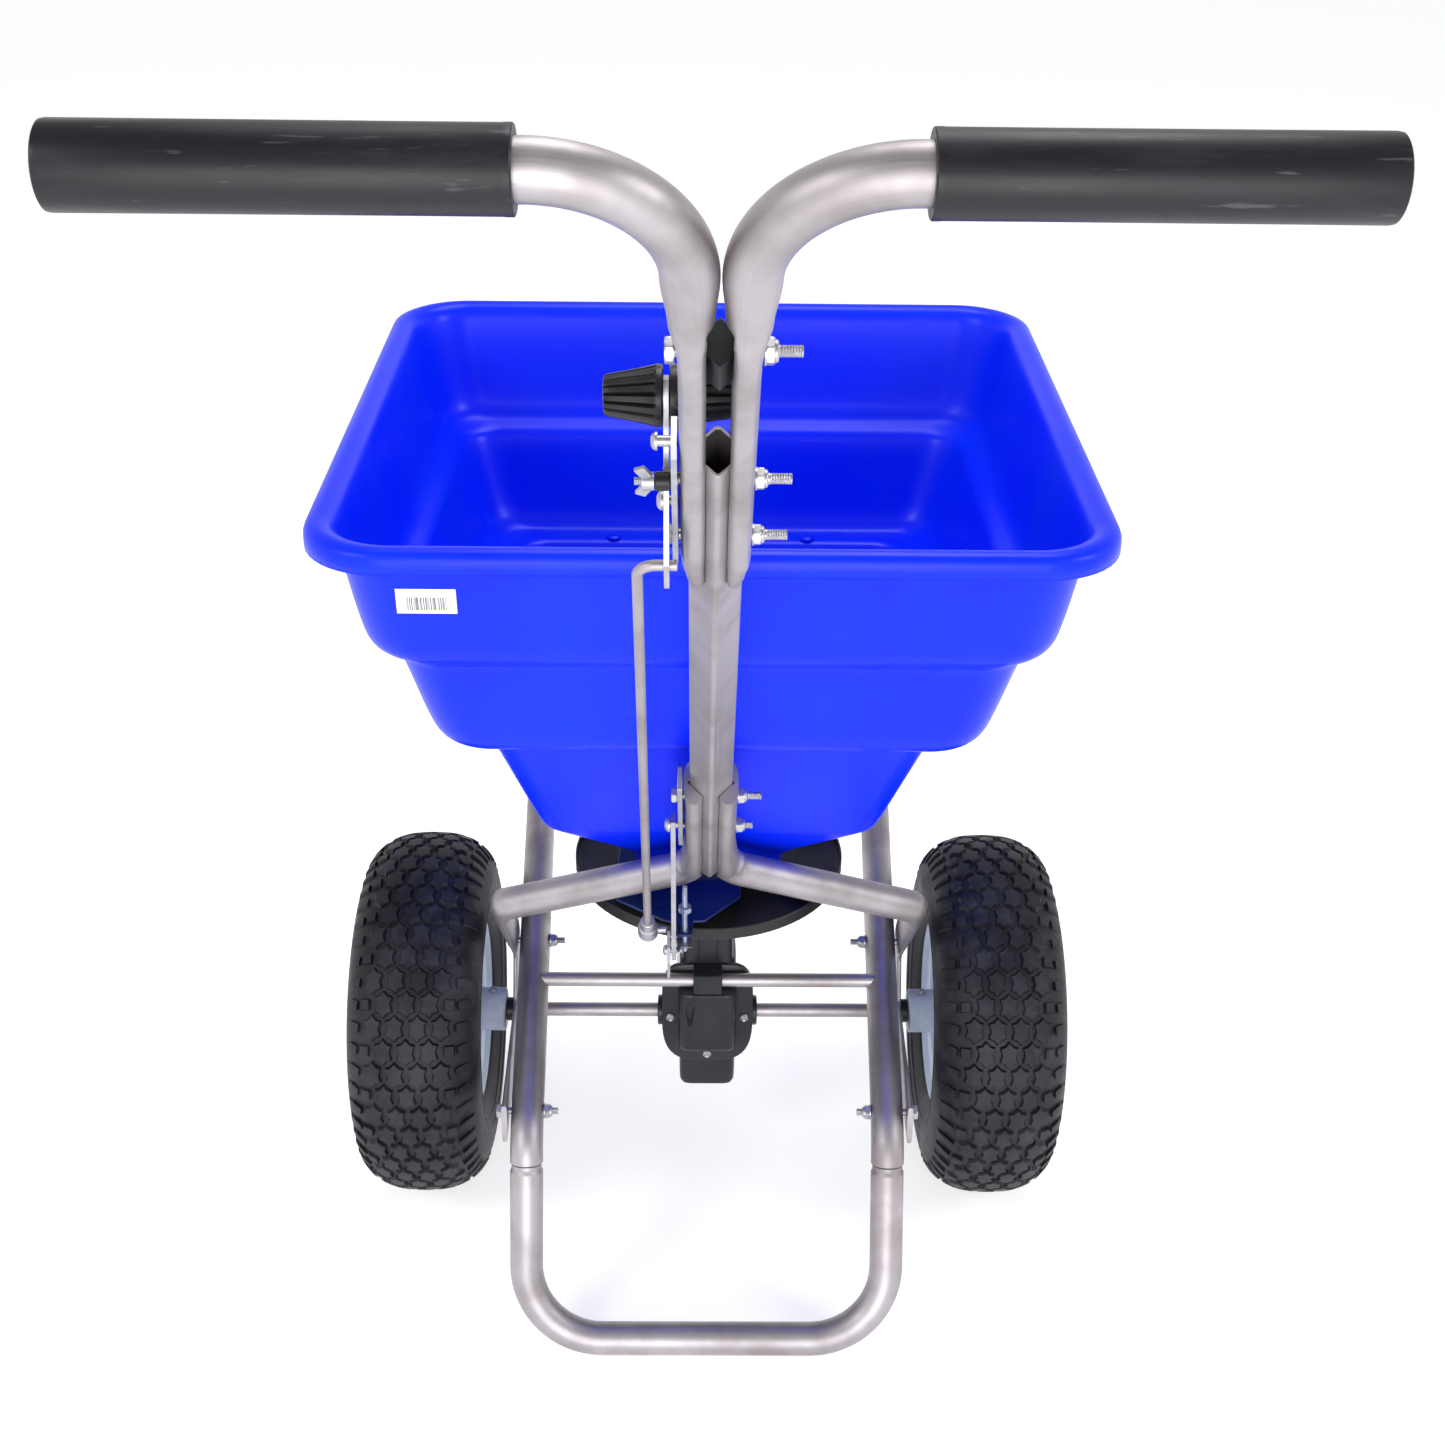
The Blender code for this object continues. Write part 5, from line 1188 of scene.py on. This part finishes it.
def make_post():
    """Rounded square carried along the post, outside and inside walls joined at both ends."""
    angle = np.linspace(0.0, 2 * math.pi, 64, endpoint=False) + math.pi / 64

    def ring(half, corner, along):
        turned = angle % (math.pi / 2)
        quarter = np.floor(angle / (math.pi / 2)) * (math.pi / 2)
        share = np.clip((turned - 0.35) / (math.pi / 2 - 0.70), 0.0, 1.0) * math.pi / 2
        inside = half - corner
        reach_low = np.where(turned < 0.35, turned / 0.35 * inside, inside)
        reach_high = np.where(turned > math.pi / 2 - 0.35,
                              (math.pi / 2 - turned) / 0.35 * inside, inside)
        x = np.where(turned > math.pi / 2 - 0.35, reach_high, inside) + corner * np.cos(share)
        y = np.where(turned < 0.35, reach_low, inside) + corner * np.sin(share)
        spin = quarter + math.pi / 4
        across = x * np.cos(spin) - y * np.sin(spin)
        ahead = x * np.sin(spin) + y * np.cos(spin)
        return (POST_ORIGIN + POST_UP * along + across[:, None] * np.array((1.0, 0.0, 0.0))
                + ahead[:, None] * POST_FRONT)

    length = 0.620
    outside = [(0.0116, 0.0), (0.0119, 0.0003)]
    outside += [(0.0120, along) for along in np.linspace(0.0008, length - 0.0008, 24)]
    outside += [(0.0119, length - 0.0003), (0.0116, length)]
    inside = [(0.0103, length), (0.0100, length - 0.0004), (0.0100, 0.0004), (0.0103, 0.0)]
    rings = [ring(half, 0.0030, along) for half, along in outside]
    rings += [ring(half, 0.0015, along) for half, along in inside]
    places = [along for _, along in outside + inside]
    solid = Solid()
    solid.grid(rings, wrap_rows=True, lengthwise=places)
    solid.finish("handle_post_finished", STEEL, "chassis", ("handle_post",), "steel_tube", 35.0)


def make_plates():
    """Plates, brackets, bushes and the spacer with rounded edges."""
    for node, body in (("lever_bracket", "chassis"), ("yoke_bracket", "chassis"),
                       ("hanger_strap", "chassis"), ("outlet_plate", "chassis"),
                       ("control_lever", "lever"), ("gate_crank", "crank"), ("wing_nut", "wing")):
        softened(node, ZINC, body, 0.0004, 2)
    # The gate plate gets the dark navy material: a painted reflection of the blue hopper plus painted
    # shade under it.
    softened("gate_plate", GATE_REFLECTION_AND_SHADE, "gate", 0.0005, 2)
    for node in ("handle_spacer", "axle_bush_left", "axle_bush_right"):
        softened(node, KNOB, "chassis", 0.0006, 2)
    for node in ("drive_gear", "pinion"):
        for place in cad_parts[node].material_slots:
            place.link = "OBJECT"
            place.material = KNOB


# Studio

def make_floor():
    """Large pale plane under the wheels."""
    mesh = bpy.data.meshes.new("studio_floor")
    reach = 9.0
    mesh.from_pydata([(-reach, -reach, 0.0), (reach, -reach, 0.0), (reach, reach, 0.0),
                      (-reach, reach, 0.0)], [], [(0, 1, 2, 3)])
    floor = bpy.data.objects.new("studio_floor", mesh)
    bpy.context.scene.collection.objects.link(floor)
    paint = Paint("studio_floor_pale", (0.90, 0.90, 0.90), 0.9, Emission_Color=(1.0, 1.0, 1.0, 1.0),
                  Emission_Strength=0.48, Specular_IOR_Level=0.1)
    cloud = paint.noise(paint.place(), 2.0, 2.0)
    paint.set(Base_Color=paint.mix(cloud, (0.90, 0.90, 0.90), (0.92, 0.92, 0.92)))
    mesh.materials.append(paint.material)


def make_lamp(name, place, target, size, power):
    """Soft square lamp turned towards a point."""
    lamp = bpy.data.lights.new(name, "AREA")
    lamp.shape = "SQUARE"
    lamp.size = size
    lamp.energy = power
    holder = bpy.data.objects.new(name, lamp)
    bpy.context.scene.collection.objects.link(holder)
    holder.location = place
    holder.rotation_euler = (Vector(target) - Vector(place)).to_track_quat("-Z", "Y").to_euler()


def make_studio():
    """Surroundings white at the horizon and dimmer overhead, and four soft lamps."""
    world = bpy.data.worlds.new("studio")
    bpy.context.scene.world = world
    world.use_nodes = True
    tree = world.node_tree
    back = tree.nodes["Background"]
    where = tree.nodes.new("ShaderNodeTexCoord").outputs["Generated"]
    split = tree.nodes.new("ShaderNodeSeparateXYZ")
    tree.links.new(where, split.inputs[0])
    fall = tree.nodes.new("ShaderNodeMapRange")
    fall.interpolation_type = "SMOOTHSTEP"
    for place, value in zip(("From Min", "From Max", "To Min", "To Max"), (0.12, 0.80, 1.05, 0.36)):
        fall.inputs[place].default_value = value
    tree.links.new(split.outputs["Z"], fall.inputs["Value"])
    back.inputs["Color"].default_value = (1.0, 1.0, 1.0, 1.0)
    tree.links.new(fall.outputs[0], back.inputs["Strength"])
    make_lamp("lamp_left", (-2.2, -1.6, 2.4), (0.0, 0.0, 0.6), 1.0, 26.0)
    make_lamp("lamp_right", (2.4, -0.9, 2.0), (0.0, 0.0, 0.6), 0.9, 20.0)
    make_lamp("lamp_top", (0.2, 0.9, 3.0), (0.0, 0.1, 0.5), 1.2, 30.0)
    make_lamp("lamp_low", (0.0, -2.7, 0.55), (0.0, -0.1, 0.15), 1.8, 48.0)


def make_camera():
    """Camera behind and above the handle, pitched down, a little to the right, a little rolled."""
    pitch, yaw, roll = (math.radians(turn) for turn in (30.0, 0.77, 0.76))
    ahead = np.array((math.sin(yaw) * math.cos(pitch), math.cos(yaw) * math.cos(pitch),
                      -math.sin(pitch)))
    right = np.array((math.cos(yaw), -math.sin(yaw), 0.0))
    up = np.cross(right, ahead)
    turned_right = right * math.cos(roll) + up * math.sin(roll)
    turned_up = up * math.cos(roll) - right * math.sin(roll)
    lens = bpy.data.cameras.new("camera")
    lens.lens = 47.34
    lens.sensor_width = 36.0
    lens.clip_start = 0.05
    holder = bpy.data.objects.new("camera", lens)
    bpy.context.scene.collection.objects.link(holder)
    place = Matrix.Identity(4)
    for column, axis in enumerate((turned_right, turned_up, -ahead)):
        for row in range(3):
            place[row][column] = float(axis[row])
    place.translation = (-0.0082, -1.2514, 1.2859)
    holder.matrix_world = place
    bpy.context.scene.camera = holder


make_hopper()
make_label()
make_main_frame()
make_stand_leg()
make_post()
for side, word in ((-1.0, "left"), (1.0, "right")):
    make_handle_bar(side, word)
    make_yoke(side, word)
    make_grip(side, word)
    make_wheel(side, word)
    make_tyre(side, word)
make_fasteners()
rod_between("axle_finished", "axle", "wheels", AXLE - (0.3045, 0, 0), AXLE + (0.3045, 0, 0), 0.00635,
            STEEL, "steel_tube")
BRACE = np.array((0.0, -0.024, 0.2185)) + CHASSIS
rod_between("brace_rod_finished", "brace_rod", "chassis", BRACE - (0.1517, 0, 0),
            BRACE + (0.1517, 0, 0), 0.00635, STEEL, "steel_tube")
make_spinner()
make_gearbox()
make_gearbox_cover()
make_cover_screws()
make_knob()
make_rod_and_ferrule()
make_adjusting_screw()
make_rate_stop()
make_plates()
make_floor()
make_studio()
make_camera()
bpy.context.scene.view_settings.view_transform = "Standard"
